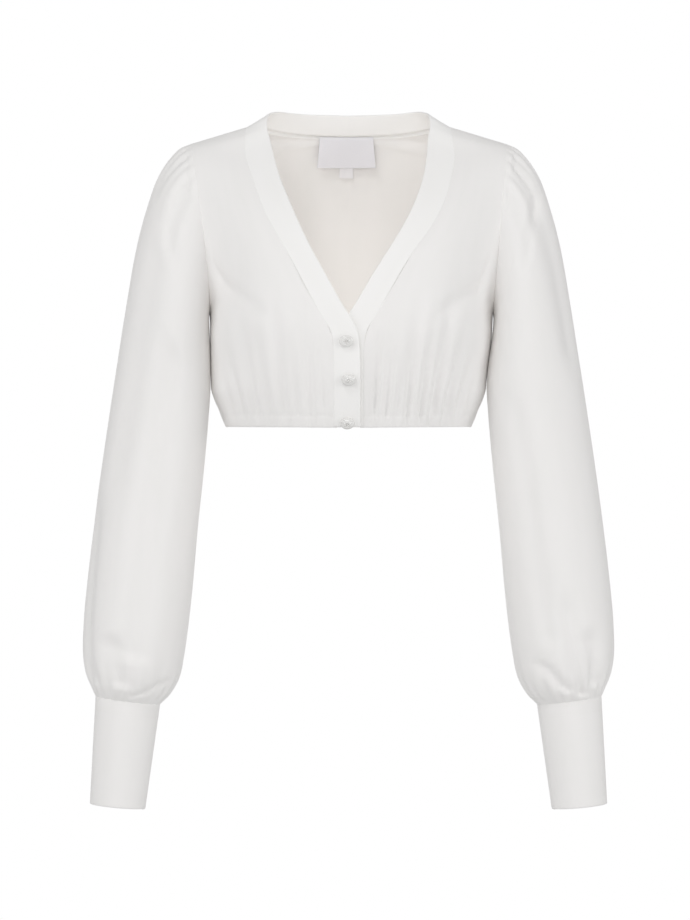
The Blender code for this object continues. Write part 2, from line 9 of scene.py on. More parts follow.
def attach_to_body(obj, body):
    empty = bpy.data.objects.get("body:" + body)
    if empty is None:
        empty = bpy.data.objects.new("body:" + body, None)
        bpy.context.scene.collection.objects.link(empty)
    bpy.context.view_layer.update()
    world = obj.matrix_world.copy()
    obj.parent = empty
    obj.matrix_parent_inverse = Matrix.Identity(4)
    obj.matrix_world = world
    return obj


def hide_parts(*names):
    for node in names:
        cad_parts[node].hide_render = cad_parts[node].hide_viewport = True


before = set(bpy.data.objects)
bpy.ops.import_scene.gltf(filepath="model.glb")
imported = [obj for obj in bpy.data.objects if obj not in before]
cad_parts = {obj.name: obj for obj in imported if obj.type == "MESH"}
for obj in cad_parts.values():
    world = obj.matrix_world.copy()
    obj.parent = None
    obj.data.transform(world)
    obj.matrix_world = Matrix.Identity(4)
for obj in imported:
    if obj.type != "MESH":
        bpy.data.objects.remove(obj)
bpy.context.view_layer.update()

# Camera. The photograph looks straight at the front of the blouse from 4 m away,
# level with the middle of the sleeves, through a long lens.
# Sizes and places are in millimetres, and this turns them to metres
MM = 0.001
CAMERA_AT = (-3.5, -4000.0, -334.0)
camera = bpy.data.objects.new("camera", bpy.data.cameras.new("camera"))
camera.data.lens = 156.5
camera.data.sensor_width = 36.0
camera.data.clip_end = 40.0
camera.location = Vector(CAMERA_AT) * MM
camera.rotation_euler = (math.radians(90), 0.0, 0.0)
bpy.context.scene.collection.objects.link(camera)
bpy.context.scene.camera = camera


# Back. One piece of off-white polyester crepe from side seam to side seam, its
# foot turned up over an elastic that gathers it, its other edges turned in and
# sewn to the fronts, the sleeves and the neck band.
# The cloth's wall, the fold and allowance of a seam, and the hem casing
CLOTH = 0.5
SEAM_TURN = 0.34
SEAM_MEET = 0.35
SEAM_ALLOWANCE = 9.0
CASING_TURN = 0.95
CASING = 11.0
# Heights, and the armhole: its top, its depth and how much fuller it is below
HEM_Z = -301.2
UNDERARM_Z = -188.0
SHOULDER_TIP = (158.5, 3.0, -18.0)
ARMHOLE_DEPTH = 53.0
ARMHOLE_EGG = 0.15
# Where the fuller left side eases into the hem, where the front laps forwards and
# where the left neck edge bows outwards
EASE_TOP_Z = -195.0
EASE_FALL = 70.0
LAP_FULL_Z = -178.0
LAP_NONE_Z = -120.0
BOW_Z = -80.0
BOW_REACH = 38.0
BOW_START = 30.0
SHOULDER_RUN = 3.0
NECK_LEVEL = 9
# Levels of the hem, underarm, neck and shoulder tip, and the rows between them
BACK_STOPS = (0.0, 4.0, 9.0, 12.0)
BACK_ROWS = (58, 50, 38)
BACK_COLUMNS = 78
WELD = 0.00002
# How gathers start at the hem, fade and widen, as shares of their depth, height
# and half width, and how high above the hem they are full, in mm
GATHER_START = 0.35
GATHER_FADE = 0.25
GATHER_NARROW = 0.6
GATHER_WIDEN = 0.9
GATHER_FULL = 24.0
# Puckers at the casing's stitching: spacing, depth and reach in mm, where their
# waves start on the back, and the depth and reach of the stitched dent itself
PUCKER_SPACING = 7.2
PUCKER_DEPTH = 0.75
PUCKER_REACH = 9.0
BACK_PUCKERS = 0.4
DENT_DEPTH = 0.55
DENT_REACH = 1.3
MIDDLE_CALM = 9.0
SIDE_CALM = 0.12
# Where the back is evened out, first and last level and reach, and how that fades
BACK_EVEN = (2.6, 6.4, 0.5)
EVEN_FADE = 0.8
EVEN_MARGIN = 0.10
EVEN_STEPS = ((-1.6, 0.10), (-0.8, 0.24), (0.0, 0.32), (0.8, 0.24), (1.6, 0.10))


def table(names, *rows):
    """Rows of numbers as named columns, of which the first rises."""
    columns = np.array(sorted(rows), float).T
    return dict(zip(names.split(), columns))


def read(rows, name, at):
    """A column at any place, on a smooth curve that never overshoots its rows.

    Past its first and last rows the curve goes straight on.
    """
    keys = next(iter(rows.values()))
    values = rows[name]
    width = np.diff(keys)
    rise = np.diff(values) / width
    same_way = rise[:-1] * rise[1:] > 0.0
    both = np.where(same_way, rise[:-1] + rise[1:], 1.0)
    inner = np.where(same_way, 2.0 * rise[:-1] * rise[1:] / both, 0.0)
    slope = np.concatenate((rise[:1], inner, rise[-1:]))
    past = np.minimum(at - keys[0], 0.0) * slope[0] + np.maximum(at - keys[-1], 0.0) * slope[-1]
    at = np.clip(at, keys[0], keys[-1])
    i = np.clip(np.searchsorted(keys, at, side="right") - 1, 0, len(width) - 1)
    t = (at - keys[i]) / width[i]
    return (past + (2 * t ** 3 - 3 * t ** 2 + 1) * values[i]
            + (t ** 3 - 2 * t ** 2 + t) * width[i] * slope[i]
            + (3 * t ** 2 - 2 * t ** 3) * values[i + 1]
            + (t ** 3 - t ** 2) * width[i] * slope[i + 1])


def ramp(value):
    """0 to 1 with soft ends, for a value that runs from 0 to 1."""
    value = np.clip(value, 0.0, 1.0)
    return value * value * (3.0 - 2.0 * value)


def xyz(x, y, z):
    """Points from their three coordinates."""
    return np.stack(np.broadcast_arrays(x, y, z), axis=-1).astype(float)


# The wearer's two sides: where the underarm is, how the armhole turns, how far
# the V neck bows outwards and how far the front laps forwards.
SIDES = {
    "right": dict(sign=-1, underarm=139.0, turn=0.085, bow=0.0, lap=3.4),
    "left": dict(sign=1, underarm=144.5, turn=0.030, bow=7.5, lap=0.0),
}
# The band's seam and folded edge, from the middle of the back neck (0) over the
# shoulder (3) to the hem (15)
BAND = table(
    "run seam_x seam_y seam_z edge_x edge_y edge_z",
    (0, 0.0, 66.0, -9.0, 0.0, 58.0, 15.5),
    (1, 45.7, 61.0, -7.3, 40.5, 53.0, 16.2),
    (2, 82.8, 40.0, -3.7, 67.5, 34.0, 17.3),
    (3, 101.0, 4.0, -0.7, 80.3, 2.0, 11.9),
    (4, 102.6, -13.0, -9.0, 81.4, -9.0, 1.0),
    (5, 102.1, -28.0, -28.2, 77.6, -22.0, -16.8),
    (6, 93.2, -54.0, -58.8, 70.2, -47.0, -46.4),
    (7, 79.4, -80.0, -94.9, 56.4, -76.0, -82.9),
    (8, 58.5, -100.0, -132.2, 40.0, -96.0, -119.3),
    (9, 40.4, -110.0, -166.7, 21.4, -107.0, -154.4),
    (10, 26.2, -113.0, -193.1, 6.8, -112.0, -180.9),
    (11, 17.0, -114.0, -208.7, -3.9, -114.0, -198.3),
    (12, 13.9, -113.0, -224.2, -10.2, -113.5, -214.5),
    (13, 13.6, -110.0, -247.4, -11.6, -111.0, -245.5),
    (14, 13.5, -103.0, -276.5, -11.6, -103.2, -276.5),
    (15, 13.6, -94.0, -302.8, -11.6, -94.0, -302.8),
)
SIDE_SEAM = table(
    "z x y",
    (-301.2, 122.5, -5.0),
    (-292.0, 126.5, -4.5),
    (-284.0, 129.5, -4.0),
    (-274.0, 134.0, -3.0),
    (-262.0, 137.3, -2.0),
    (-228.0, 138.2, 1.0),
    (-200.0, 138.5, 2.5),
    (-188.0, 139.0, 3.0),
)
# Half the back: its middle or neck edge, how far up its outer edge the row ends,
# and the angle and pull with which the cloth leaves both
BACK = table(
    "level x y z edge inner_turn edge_turn inner_pull edge_pull fall",
    (0, 0.0, 80.0, -300.8, 0.000, 0.0, 90.0, 0.48, 0.40, 0.20),
    (1, 0.0, 83.0, -276.5, 0.227, 0.0, 90.0, 0.48, 0.42, 0.20),
    (2, 0.0, 86.0, -247.4, 0.480, 0.0, 90.0, 0.48, 0.43, 0.20),
    (3, 0.0, 88.0, -224.2, 0.684, 0.0, 90.0, 0.48, 0.43, 0.20),
    (4, 0.0, 90.0, -190.0, 1.000, 0.0, 86.0, 0.46, 0.42, 0.20),
    (5, 0.0, 92.0, -158.0, 1.267, 0.0, 60.0, 0.42, 0.38, 0.20),
    (6, 0.0, 91.0, -125.0, 1.409, 0.0, 46.0, 0.40, 0.36, 0.20),
    (7, 0.0, 88.0, -90.0, 1.520, 0.0, 38.0, 0.38, 0.35, 0.18),
    (8, 0.0, 80.0, -50.0, 1.630, 0.0, 31.0, 0.37, 0.34, 0.16),
    (9, 0.0, 66.0, -9.0, 1.730, 0.0, 24.0, 0.36, 0.34, 0.20),
    (10, 45.7, 61.0, -7.3, 1.830, 1.0, 15.0, 0.35, 0.34, 0.30),
    (11, 82.8, 40.0, -3.7, 1.920, 1.0, 6.0, 0.34, 0.34, 0.33),
    (12, 101.0, 4.0, -0.7, 2.000, -1.0, 1.0, 0.34, 0.34, 0.34),
)
# Gathers over the elastic: distance from the middle, how far they lean outwards
# at their top, their height, depth and half width
BACK_GATHERS = {
    "right": ((9, 2, 104, 2.8, 4.6), (22, 5, 130, 3.4, 5.2), (36, 8, 92, 2.6, 4.6),
              (49, 11, 142, 3.6, 5.8), (63, 14, 108, 3.0, 4.8), (77, 18, 128, 3.2, 5.4),
              (91, 20, 86, 2.6, 4.6), (104, 22, 104, 2.6, 5.0)),
    "left": ((6, 2, 126, 3.0, 4.9), (18, 4, 94, 2.6, 4.4), (32, 8, 138, 3.6, 5.6),
             (46, 10, 100, 2.8, 4.8), (60, 14, 118, 3.2, 5.2), (75, 17, 146, 3.4, 5.8),
             (89, 20, 92, 2.8, 4.6), (102, 22, 112, 2.6, 5.0)),
}


def band_line(side, run, line):
    """The neck band's seam or folded edge, in the wearer's left frame."""
    x = read(BAND, line + "_x", np.abs(run))
    y = read(BAND, line + "_y", np.abs(run))
    z = read(BAND, line + "_z", np.abs(run))
    low = np.asarray(run) > SHOULDER_RUN
    bow = side["bow"] * np.exp(-0.5 * ((z - BOW_Z) / BOW_REACH) ** 2) * ramp(-z / BOW_START)
    lap = side["lap"] * ramp((LAP_NONE_Z - z) / (LAP_NONE_Z - LAP_FULL_Z))
    return xyz(x + low * bow, y - low * lap, z)


def side_ease(side, z):
    """Extra half width of a side, full at the underarm and gone above the hem."""
    return (side["underarm"] - SIDE_SEAM["x"][-1]) * (1.0 - ramp((EASE_TOP_Z - z) / EASE_FALL))


def outer_edge(side, edge, half):
    """A panel's outer edge: 0 to 1 up the side seam, 1 to 2 up the armhole."""
    z = HEM_Z + (UNDERARM_Z - HEM_Z) * edge
    seam = xyz(read(SIDE_SEAM, "x", z) + side_ease(side, z), read(SIDE_SEAM, "y", z), z)
    angle = math.pi * (2.0 - np.maximum(edge, 1.0))
    share = 0.5 * (1.0 - np.cos(angle))
    depth = ARMHOLE_DEPTH * np.sin(angle) * (1.0 - ARMHOLE_EGG * np.cos(angle))
    x = SHOULDER_TIP[0] + (side["underarm"] - SHOULDER_TIP[0]) * share
    z = SHOULDER_TIP[2] + (UNDERARM_Z - SHOULDER_TIP[2]) * share
    armhole = xyz(x + side["turn"] * half * depth, SHOULDER_TIP[1] + half * depth, z)
    return np.where(np.asarray(edge)[..., None] > 1.0, armhole, seam)


def row_points(ends, turns, pulls, u, half, fall):
    """Points on level rows across a panel, and the way out of the cloth there."""
    start, end = ends
    span = np.hypot(end[..., 0] - start[..., 0], end[..., 1] - start[..., 1])
    angles = [np.radians(turn) for turn in turns]
    out_of_start = xyz(np.cos(angles[0]), half * np.sin(angles[0]), 0.0)
    out_of_end = xyz(-np.cos(angles[1]), half * np.sin(angles[1]), 0.0)
    leave = start + out_of_start * (span * pulls[0])[..., None]
    arrive = end + out_of_end * (span * pulls[1])[..., None]
    drop = end[..., 2] - start[..., 2]
    leave[..., 2] = start[..., 2] + drop * fall
    arrive[..., 2] = start[..., 2] + drop * 2.0 / 3.0
    t = u[..., None]
    s = 1.0 - t
    point = start * s ** 3 + leave * 3 * s * s * t + arrive * 3 * s * t * t + end * t ** 3
    along = (leave - start) * s * s + (arrive - leave) * 2 * s * t + (end - arrive) * t * t
    out = xyz(-along[..., 1] * half, along[..., 0] * half, 0.0)
    return point, out / np.linalg.norm(out, axis=-1, keepdims=True)


def gathers(rows, x, height):
    """How deep listed gathers sink at a distance from the middle and a height."""
    total = 0.0
    for at, lean, top, depth, width in rows:
        share = np.clip(height / top, 0.0, 1.0)
        away = (x - at - lean * share) / (width * (GATHER_NARROW + GATHER_WIDEN * share))
        start = GATHER_START + (1.0 - GATHER_START) * ramp(height / GATHER_FULL)
        fade = 1.0 - ramp((share - GATHER_FADE) / (1.0 - GATHER_FADE))
        total = total + depth * start * fade * np.exp(-away ** 2)
    return total


def puckers(x, height, seed):
    """Small puckers that the elastic's stitching pulls into the casing.

    Slow waves of unlike lengths make their spacing and their depth uneven.
    """
    drift = 0.9 * np.sin(x / 9.0 + seed) + 0.7 * np.sin(x / 21.0 + 2.0 * seed)
    size = 0.65 + 0.35 * np.sin(x / 13.0 + 1.7 * seed)
    near = np.exp(-((height - CASING) / PUCKER_REACH) ** 2)
    dent = DENT_DEPTH * np.exp(-((height - CASING) / DENT_REACH) ** 2)
    return PUCKER_DEPTH * near * size * np.cos(2 * math.pi * x / PUCKER_SPACING + drift) + dent


def evened(place, u, row, stretch):
    """A surface evened out along its columns, except close to its outer edge.

    It takes off the crease that the corner under the arm would send across.
    """
    first, last, most = stretch
    near = ramp((row - first) / EVEN_FADE) * ramp((last - row) / EVEN_FADE)
    reach = most * near
    point, out = place(u, row)
    inner = ramp((1.0 - u) / EVEN_MARGIN)[..., None]
    evener = sum(share * place(u, row + reach * step)[0] for step, share in EVEN_STEPS)
    return point + (evener - point) * inner, out


def plain_back(side, u, level):
    """Half the back without gathers, and the way out of the cloth there."""
    start = xyz(read(BACK, "x", level), read(BACK, "y", level), read(BACK, "z", level))
    high = level > NECK_LEVEL
    neck = band_line(side, np.maximum(level - NECK_LEVEL, 0), "seam")
    start = np.where(high[..., None], neck, start)
    end = outer_edge(side, read(BACK, "edge", level), 1)
    turns = (read(BACK, "inner_turn", level), read(BACK, "edge_turn", level))
    pulls = (read(BACK, "inner_pull", level), read(BACK, "edge_pull", level))
    return row_points((start, end), turns, pulls, u, 1, read(BACK, "fall", level))


def back_half(side, u, level):
    """The outer surface of half the back: u from the middle to the side."""
    point, out = evened(lambda u, level: plain_back(side, u, level), u, level, BACK_EVEN)
    height = point[..., 2] - HEM_Z
    name = "left" if side["sign"] > 0 else "right"
    sunk = gathers(BACK_GATHERS[name], point[..., 0], height) * ramp(point[..., 0] / MIDDLE_CALM)
    sunk = sunk + puckers(side["sign"] * point[..., 0], height, BACK_PUCKERS)
    point = point - out * (sunk * ramp((1.0 - u) / SIDE_CALM))[..., None]
    return point * (side["sign"], 1.0, 1.0)


def turned(at, way, radius, allowance, steps=3, meet=0.0):
    """An edge turned in: places, shifts from them in mm, and how deep it lies.

    way is +1 where the piece lies above the edge and -1 where it lies below, and
    meet is how far the fold stands past the edge, to press on its neighbour.
    """
    bend = np.radians((180.0, 135.0, 90.0, 45.0, 0.0))
    under = np.linspace(allowance, 1.6 * radius, steps)
    shift = np.concatenate((under, radius * (1.0 - np.sin(bend)))) - meet
    depth = np.concatenate((np.full(steps, 2.0 * radius), radius * (1.0 - np.cos(bend))))
    edge = np.array([np.full(len(shift), float(at)), way * shift, depth])
    return edge if way > 0 else edge[:, ::-1]


def spread(first, last, count):
    """Plain rows or columns between two edges, without the edges."""
    places = np.linspace(first, last, count + 1, endpoint=False)[1:]
    return np.array([places, np.zeros(count), np.zeros(count)])


def edge_only(at):
    """One row or column on a plain edge."""
    return np.array([[float(at)], [0.0], [0.0]])


def stretches(stops, counts):
    """Plain rows from stop to stop, with a row on each stop between the ends."""
    rows = [spread(stops[0], stops[1], counts[0])]
    for first, last, count in zip(stops[1:-1], stops[2:], counts[1:]):
        rows += [edge_only(first), spread(first, last, count)]
    return np.hstack(rows)


def lay(place, across, down, inside=1.0):
    """Points of a piece whose columns and rows may turn in at the edges."""
    nudge = 0.0005

    def speed(u, v, du, dv):
        way = place(u + du, v + dv) - place(u - du, v - dv)
        return np.maximum(np.linalg.norm(way, axis=-1), 1e-6) / (2.0 * nudge)

    u, v = np.meshgrid(across[0], down[0])
    per_u = speed(u, v, nudge, 0.0)
    per_v = speed(u, v, 0.0, nudge)
    u = u + across[1][None, :] / per_u
    v = v + down[1][:, None] / per_v
    way_u = place(u + nudge, v) - place(u - nudge, v)
    way_v = place(u, v + nudge) - place(u, v - nudge)
    out = np.cross(way_u, way_v)
    out /= np.maximum(np.linalg.norm(out, axis=-1, keepdims=True), 1e-12)
    depth = np.maximum(across[2][None, :], down[2][:, None])
    return place(u, v) - inside * out * depth[..., None]


def finished(bm, name, material):
    """A smooth object in one material, made from a bmesh."""
    mesh = bpy.data.meshes.new(name)
    bm.to_mesh(mesh)
    bm.free()
    mesh.shade_smooth()
    mesh.materials.append(material)
    piece = bpy.data.objects.new(name, mesh)
    bpy.context.scene.collection.objects.link(piece)
    return piece


def cloth_piece(name, parts, wall, flip, material):
    """Grids bent to their points, joined where they meet, with a wall inside."""
    whole = bmesh.new()
    for points in parts:
        rows, columns = points.shape[:2]
        grid = bmesh.new()
        bmesh.ops.create_grid(grid, x_segments=columns - 1, y_segments=rows - 1, size=0.5)
        across = np.linalg.norm(np.diff(points, axis=1), axis=-1).mean(axis=0)
        down = np.linalg.norm(np.diff(points, axis=0), axis=-1).mean(axis=1)
        across = np.concatenate(([0.0], np.cumsum(across)))
        down = np.concatenate(([0.0], np.cumsum(down)))
        weave = grid.loops.layers.uv.new("weave")
        for face in grid.faces:
            for loop in face.loops:
                column = round((loop.vert.co.x + 0.5) * (columns - 1))
                row = round((loop.vert.co.y + 0.5) * (rows - 1))
                loop[weave].uv = (across[column] * MM, down[row] * MM)
        for vert in grid.verts:
            column = round((vert.co.x + 0.5) * (columns - 1))
            row = round((vert.co.y + 0.5) * (rows - 1))
            vert.co = Vector(points[row, column]) * MM
        if flip:
            bmesh.ops.reverse_faces(grid, faces=grid.faces)
        half = bpy.data.meshes.new("half")
        grid.to_mesh(half)
        grid.free()
        whole.from_mesh(half)
        bpy.data.meshes.remove(half)
    bmesh.ops.remove_doubles(whole, verts=whole.verts, dist=WELD)
    piece = finished(whole, name, material)
    thick = piece.modifiers.new("wall", "SOLIDIFY")
    thick.thickness = wall * MM
    thick.offset = -1.0
    return piece


def linear(code):
    """An sRGB hex colour as linear red, green, blue and alpha."""
    parts = [int(code[i:i + 2], 16) / 255.0 for i in (1, 3, 5)]
    return tuple(p / 12.92 if p <= 0.04045 else ((p + 0.055) / 1.055) ** 2.4 for p in parts) + (1.0,)


def add_node(tree, kind, inputs=(), **settings):
    """A node with its settings, and its inputs set or linked."""
    made = tree.nodes.new("ShaderNode" + kind)
    for name, value in settings.items():
        setattr(made, name, value)
    for name, value in dict(inputs).items():
        if isinstance(value, bpy.types.NodeSocket):
            tree.links.new(value, made.inputs[name])
        else:
            made.inputs[name].default_value = value
    return made


TO_MM = 1000.0
GRAIN = 0.7
GRAIN_STRETCH = 0.42
GRAIN_HEIGHT = 0.00012
CLOUD_SCALE = (60.0, 14.0, 1.0)


def new_material(name):
    """A material, its node tree and its surface node."""
    material = bpy.data.materials.new(name)
    material.use_nodes = True
    return material, material.node_tree, material.node_tree.nodes["Principled BSDF"]


def two_tones(tree, surface, share, light, shade):
    """The surface's colour drifts between a shaded and a light tone."""
    tone = add_node(tree, "Mix", {"Factor": share}, data_type="RGBA")
    tone.inputs["A"].default_value = linear(shade)
    tone.inputs["B"].default_value = linear(light)
    tree.links.new(tone.outputs["Result"], surface.inputs["Base Color"])


def raised(tree, surface, height, strength, distance):
    """The surface's fine relief, its height in metres."""
    bump = add_node(tree, "Bump", {"Height": height, "Strength": strength, "Distance": distance})
    tree.links.new(bump.outputs["Normal"], surface.inputs["Normal"])


def crepe(name, light, shade):
    """Polyester crepe, woven from hard-twisted yarn: pebbled, matte, slight sheen.

    Its grains are drawn about 0.7 mm wide, coarser than they are, to show at all,
    and longer along the warp. Faint clouds of tone are 17 mm wide and 70 mm long.
    """
    material, tree, surface = new_material(name)
    weave = add_node(tree, "UVMap", uv_map="weave")
    per_mm = (TO_MM, TO_MM * GRAIN_STRETCH, 1.0)
    grain_at = add_node(tree, "Mapping", {"Vector": weave.outputs["UV"], "Scale": per_mm})
    grain = add_node(tree, "TexNoise", {"Vector": grain_at.outputs["Vector"],
                                        "Scale": 1.0 / GRAIN, "Detail": 2.0})
    cloud_at = add_node(tree, "Mapping", {"Vector": weave.outputs["UV"], "Scale": CLOUD_SCALE})
    cloud = add_node(tree, "TexNoise", {"Vector": cloud_at.outputs["Vector"], "Scale": 1.0, "Detail": 3.0})
    two_tones(tree, surface, cloud.outputs["Fac"], light, shade)
    raised(tree, surface, grain.outputs["Fac"], 0.35, GRAIN_HEIGHT)
    surface.inputs["Roughness"].default_value = 0.78
    surface.inputs["Specular IOR Level"].default_value = 0.3
    surface.inputs["Sheen Weight"].default_value = 0.25
    surface.inputs["Sheen Roughness"].default_value = 0.45
    return material


# one layer of it shows a soft off-white
body_crepe = crepe("body_crepe", "#f5f3f2", "#f1f0ee")


def attach(piece, nodes):
    """The piece stands for its CAD solids and moves with the blouse."""
    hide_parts(*nodes)
    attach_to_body(piece, "root")


side_edge = turned(1.0, -1, SEAM_TURN, SEAM_ALLOWANCE, 3, SEAM_MEET)
casing_edge = turned(0.0, 1, CASING_TURN, CASING, 5)
shoulder_edge = turned(BACK_STOPS[-1], -1, SEAM_TURN, SEAM_ALLOWANCE)
halves = []
for name, side in SIDES.items():
    across = np.hstack((edge_only(0.0), spread(0.0, 1.0, BACK_COLUMNS), side_edge))
    down = np.hstack((casing_edge, stretches(BACK_STOPS, BACK_ROWS), shoulder_edge))
    points = lay(lambda u, v, side=side: back_half(side, u, v), across, down, -side["sign"])
    if side["sign"] > 0:
        points = points[:, ::-1]
    halves.append(points)
back = cloth_piece("back_cloth", halves, CLOTH, False, body_crepe)
attach(back, ["back_panel"])


# Fronts. Two pieces of the same crepe, each gathered along its foot like the
# back, joined to it at the shoulders and down the sides.
# A front from the hem (15) up the band to the shoulder (3), as the back's table
FRONT = table(
    "run edge seam_turn edge_turn seam_pull edge_pull",
    (15.0, 0.000, 1.0, 90.0, 0.46, 0.40),
    (14.0, 0.227, 2.0, 90.0, 0.47, 0.43),
    (13.0, 0.480, 4.0, 90.0, 0.48, 0.47),
    (12.0, 0.684, 6.0, 90.0, 0.49, 0.50),
    (11.0, 0.820, 7.5, 90.0, 0.50, 0.51),
    (10.0, 1.000, 8.0, 86.0, 0.50, 0.50),
    (9.0, 1.267, 7.0, 62.0, 0.42, 0.42),
    (8.0, 1.409, 5.0, 46.0, 0.38, 0.38),
    (7.0, 1.542, 2.0, 34.0, 0.35, 0.35),
    (6.0, 1.669, 0.0, 24.0, 0.34, 0.34),
    (5.0, 1.800, 0.0, 14.0, 0.34, 0.34),
    (4.0, 1.896, 1.0, 5.0, 0.34, 0.34),
    (3.0, 2.000, 1.0, -1.0, 0.34, 0.34),
)
FRONT_GATHERS = {
    "right": ((23, 4, 122, 2.8, 5.0), (36, 8, 152, 3.8, 6.0), (49, 11, 112, 2.6, 5.0),
              (62, 16, 160, 4.4, 6.6), (76, 22, 128, 3.4, 5.4), (89, 26, 154, 4.4, 6.4),
              (102, 26, 106, 3.0, 5.0), (112, 20, 84, 2.2, 4.6)),
    "left": ((25, 4, 142, 5.2, 4.8), (36, 8, 120, 4.6, 4.6), (46, 12, 92, 3.2, 3.8),
             (57, 15, 154, 6.4, 5.8), (69, 20, 136, 6.0, 5.2), (81, 28, 160, 7.2, 6.0),
             (93, 30, 128, 5.4, 5.0), (104, 27, 100, 3.8, 4.6), (114, 20, 80, 2.6, 4.2)),
}
# Soft drapes: z and x from the underarm to below the bust, depth, half width
FRONT_DRAPES = {
    "right": (((-140, 138), (-165, 120), (-181, 98), (-194, 74)), 3.2, 9.0),
    "left": (((-140, 140), (-166, 130), (-181, 106), (-193, 80)), 4.0, 9.0),
}
DRAPE_FADE = 26.0
DRAPE_START = 6.0
DRAPE_START_FADE = 16.0
FRONT_PUCKERS = 1.3
FRONT_EVEN = (7.6, 12.4, 0.55)
FRONT_STOPS = (15.0, 10.0, 5.0, 3.0)
FRONT_ROWS = (62, 56, 22)
FRONT_COLUMNS = 84
BAND_CALM = 0.05
# The edge under the band: distances from the band's seam and how deep it dips
TUCKED_SHIFT = (-2.0, -1.0, -0.3, 0.15, 0.6, 1.2)
TUCKED_DEPTH = (1.0, 0.75, 0.5, 0.25, 0.08, 0.0)


def drape(name, x, z):
    """How deep a front's soft drape sinks, fading towards its inner end."""
    line, depth, width = FRONT_DRAPES[name]
    knots = np.array(line, float)
    at_z = np.interp(x, knots[::-1, 1], knots[::-1, 0])
    inner = ramp((x - knots[-1, 1]) / DRAPE_FADE)
    outer = ramp((knots[0, 1] + DRAPE_START - x) / DRAPE_START_FADE)
    return depth * inner * outer * np.exp(-((z - at_z) / width) ** 2)


def plain_front(side, u, run):
    """A front without gathers, and the way out of the cloth there."""
    start = band_line(side, run, "seam")
    end = outer_edge(side, read(FRONT, "edge", run), -1)
    turns = (read(FRONT, "seam_turn", run), read(FRONT, "edge_turn", run))
    pulls = (read(FRONT, "seam_pull", run), read(FRONT, "edge_pull", run))
    return row_points((start, end), turns, pulls, u, -1, 1.0 / 3.0)


def front_half(name, u, run):
    """The outer surface of a front: u from its band to its side, run up the band."""
    side = SIDES[name]
    point, out = evened(lambda u, run: plain_front(side, u, run), u, run, FRONT_EVEN)
    height = point[..., 2] - HEM_Z
    sunk = gathers(FRONT_GATHERS[name], point[..., 0], height) + drape(name, point[..., 0], point[..., 2])
    sunk = sunk + puckers(side["sign"] * point[..., 0], height, FRONT_PUCKERS)
    calm = ramp(u / BAND_CALM) * ramp((1.0 - u) / SIDE_CALM)
    point = point - out * (sunk * calm)[..., None]
    return point * (side["sign"], 1.0, 1.0)


tucked_edge = np.array([np.zeros(len(TUCKED_SHIFT)), TUCKED_SHIFT, TUCKED_DEPTH])
front_casing = casing_edge.copy()
front_casing[0] = FRONT_STOPS[0]
front_casing[1] *= -1.0
front_shoulder = turned(FRONT_STOPS[-1], 1, SEAM_TURN, SEAM_ALLOWANCE)[:, ::-1]
for name, side in SIDES.items():
    # the tucked columns stand in for the two plain ones nearest the band
    across = np.hstack((tucked_edge, spread(0.0, 1.0, FRONT_COLUMNS)[:, 2:], side_edge))
    down = np.hstack((front_casing, stretches(FRONT_STOPS, FRONT_ROWS), front_shoulder))
    points = lay(lambda u, v, name=name: front_half(name, u, v), across, down, -side["sign"])
    front = cloth_piece("front_" + name + "_cloth", [points], CLOTH, side["sign"] < 0, body_crepe)
    attach(front, ["front_" + name])


# Sleeves. Two long bishop sleeves of the crepe, each one piece with a seam at the
# underarm, gathered over the top of the armhole and again into the cuff.
# Rings down the sleeve: outermost and innermost point, and half the depth
SLEEVE = table(
    "ring out_x out_y out_z in_x in_y in_z depth",
    (0, 158.5, 3.0, -18.0, 139.0, 3.0, -188.0, 53.0),
    (1, 168.0, 3.0, -22.0, 139.6, 0.0, -193.0, 55.0),
    (2, 180.0, 3.0, -34.0, 139.1, -4.0, -200.0, 57.0),
    (3, 191.0, 2.0, -52.0, 138.5, -9.0, -209.0, 58.0),
    (4, 201.5, 1.0, -82.0, 137.8, -14.0, -221.0, 58.0),
    (5, 211.5, 0.0, -120.0, 137.3, -19.0, -237.0, 57.0),
    (6, 221.3, -1.0, -175.0, 137.3, -22.0, -260.0, 56.0),
    (7, 232.0, -3.0, -244.0, 139.2, -22.0, -292.0, 54.0),
    (8, 243.0, -6.0, -318.0, 143.5, -20.0, -340.0, 53.0),
    (9, 252.0, -10.0, -384.0, 150.0, -19.0, -402.0, 52.0),
    (10, 259.3, -14.0, -446.0, 155.3, -19.0, -462.0, 52.0),
    (11, 263.5, -17.0, -492.0, 160.0, -20.0, -504.0, 52.0),
    (12, 264.5, -18.0, -520.0, 163.8, -20.0, -530.0, 51.0),
    (13, 262.2, -19.0, -543.0, 167.5, -20.5, -549.0, 48.0),
    (14, 256.0, -20.0, -560.0, 176.5, -21.0, -566.0, 40.0),
    (15, 251.7, -20.0, -569.0, 187.5, -21.0, -577.0, 29.5),
)
HEAD_END_RING = 6
HEAD_ALLOWANCE = 3.0
SLEEVE_STOPS = (0.0, 3.0, 11.0, 15.0)
SLEEVE_ROWS = (40, 90, 62)
SLEEVE_COLUMNS = 190
# The foot inside the cuff: distances past the last ring and how deep it lies
TUCK_SHIFT = (0.8, 2.0, 5.0)
TUCK_DEPTH = (0.3, 0.6, 0.6)
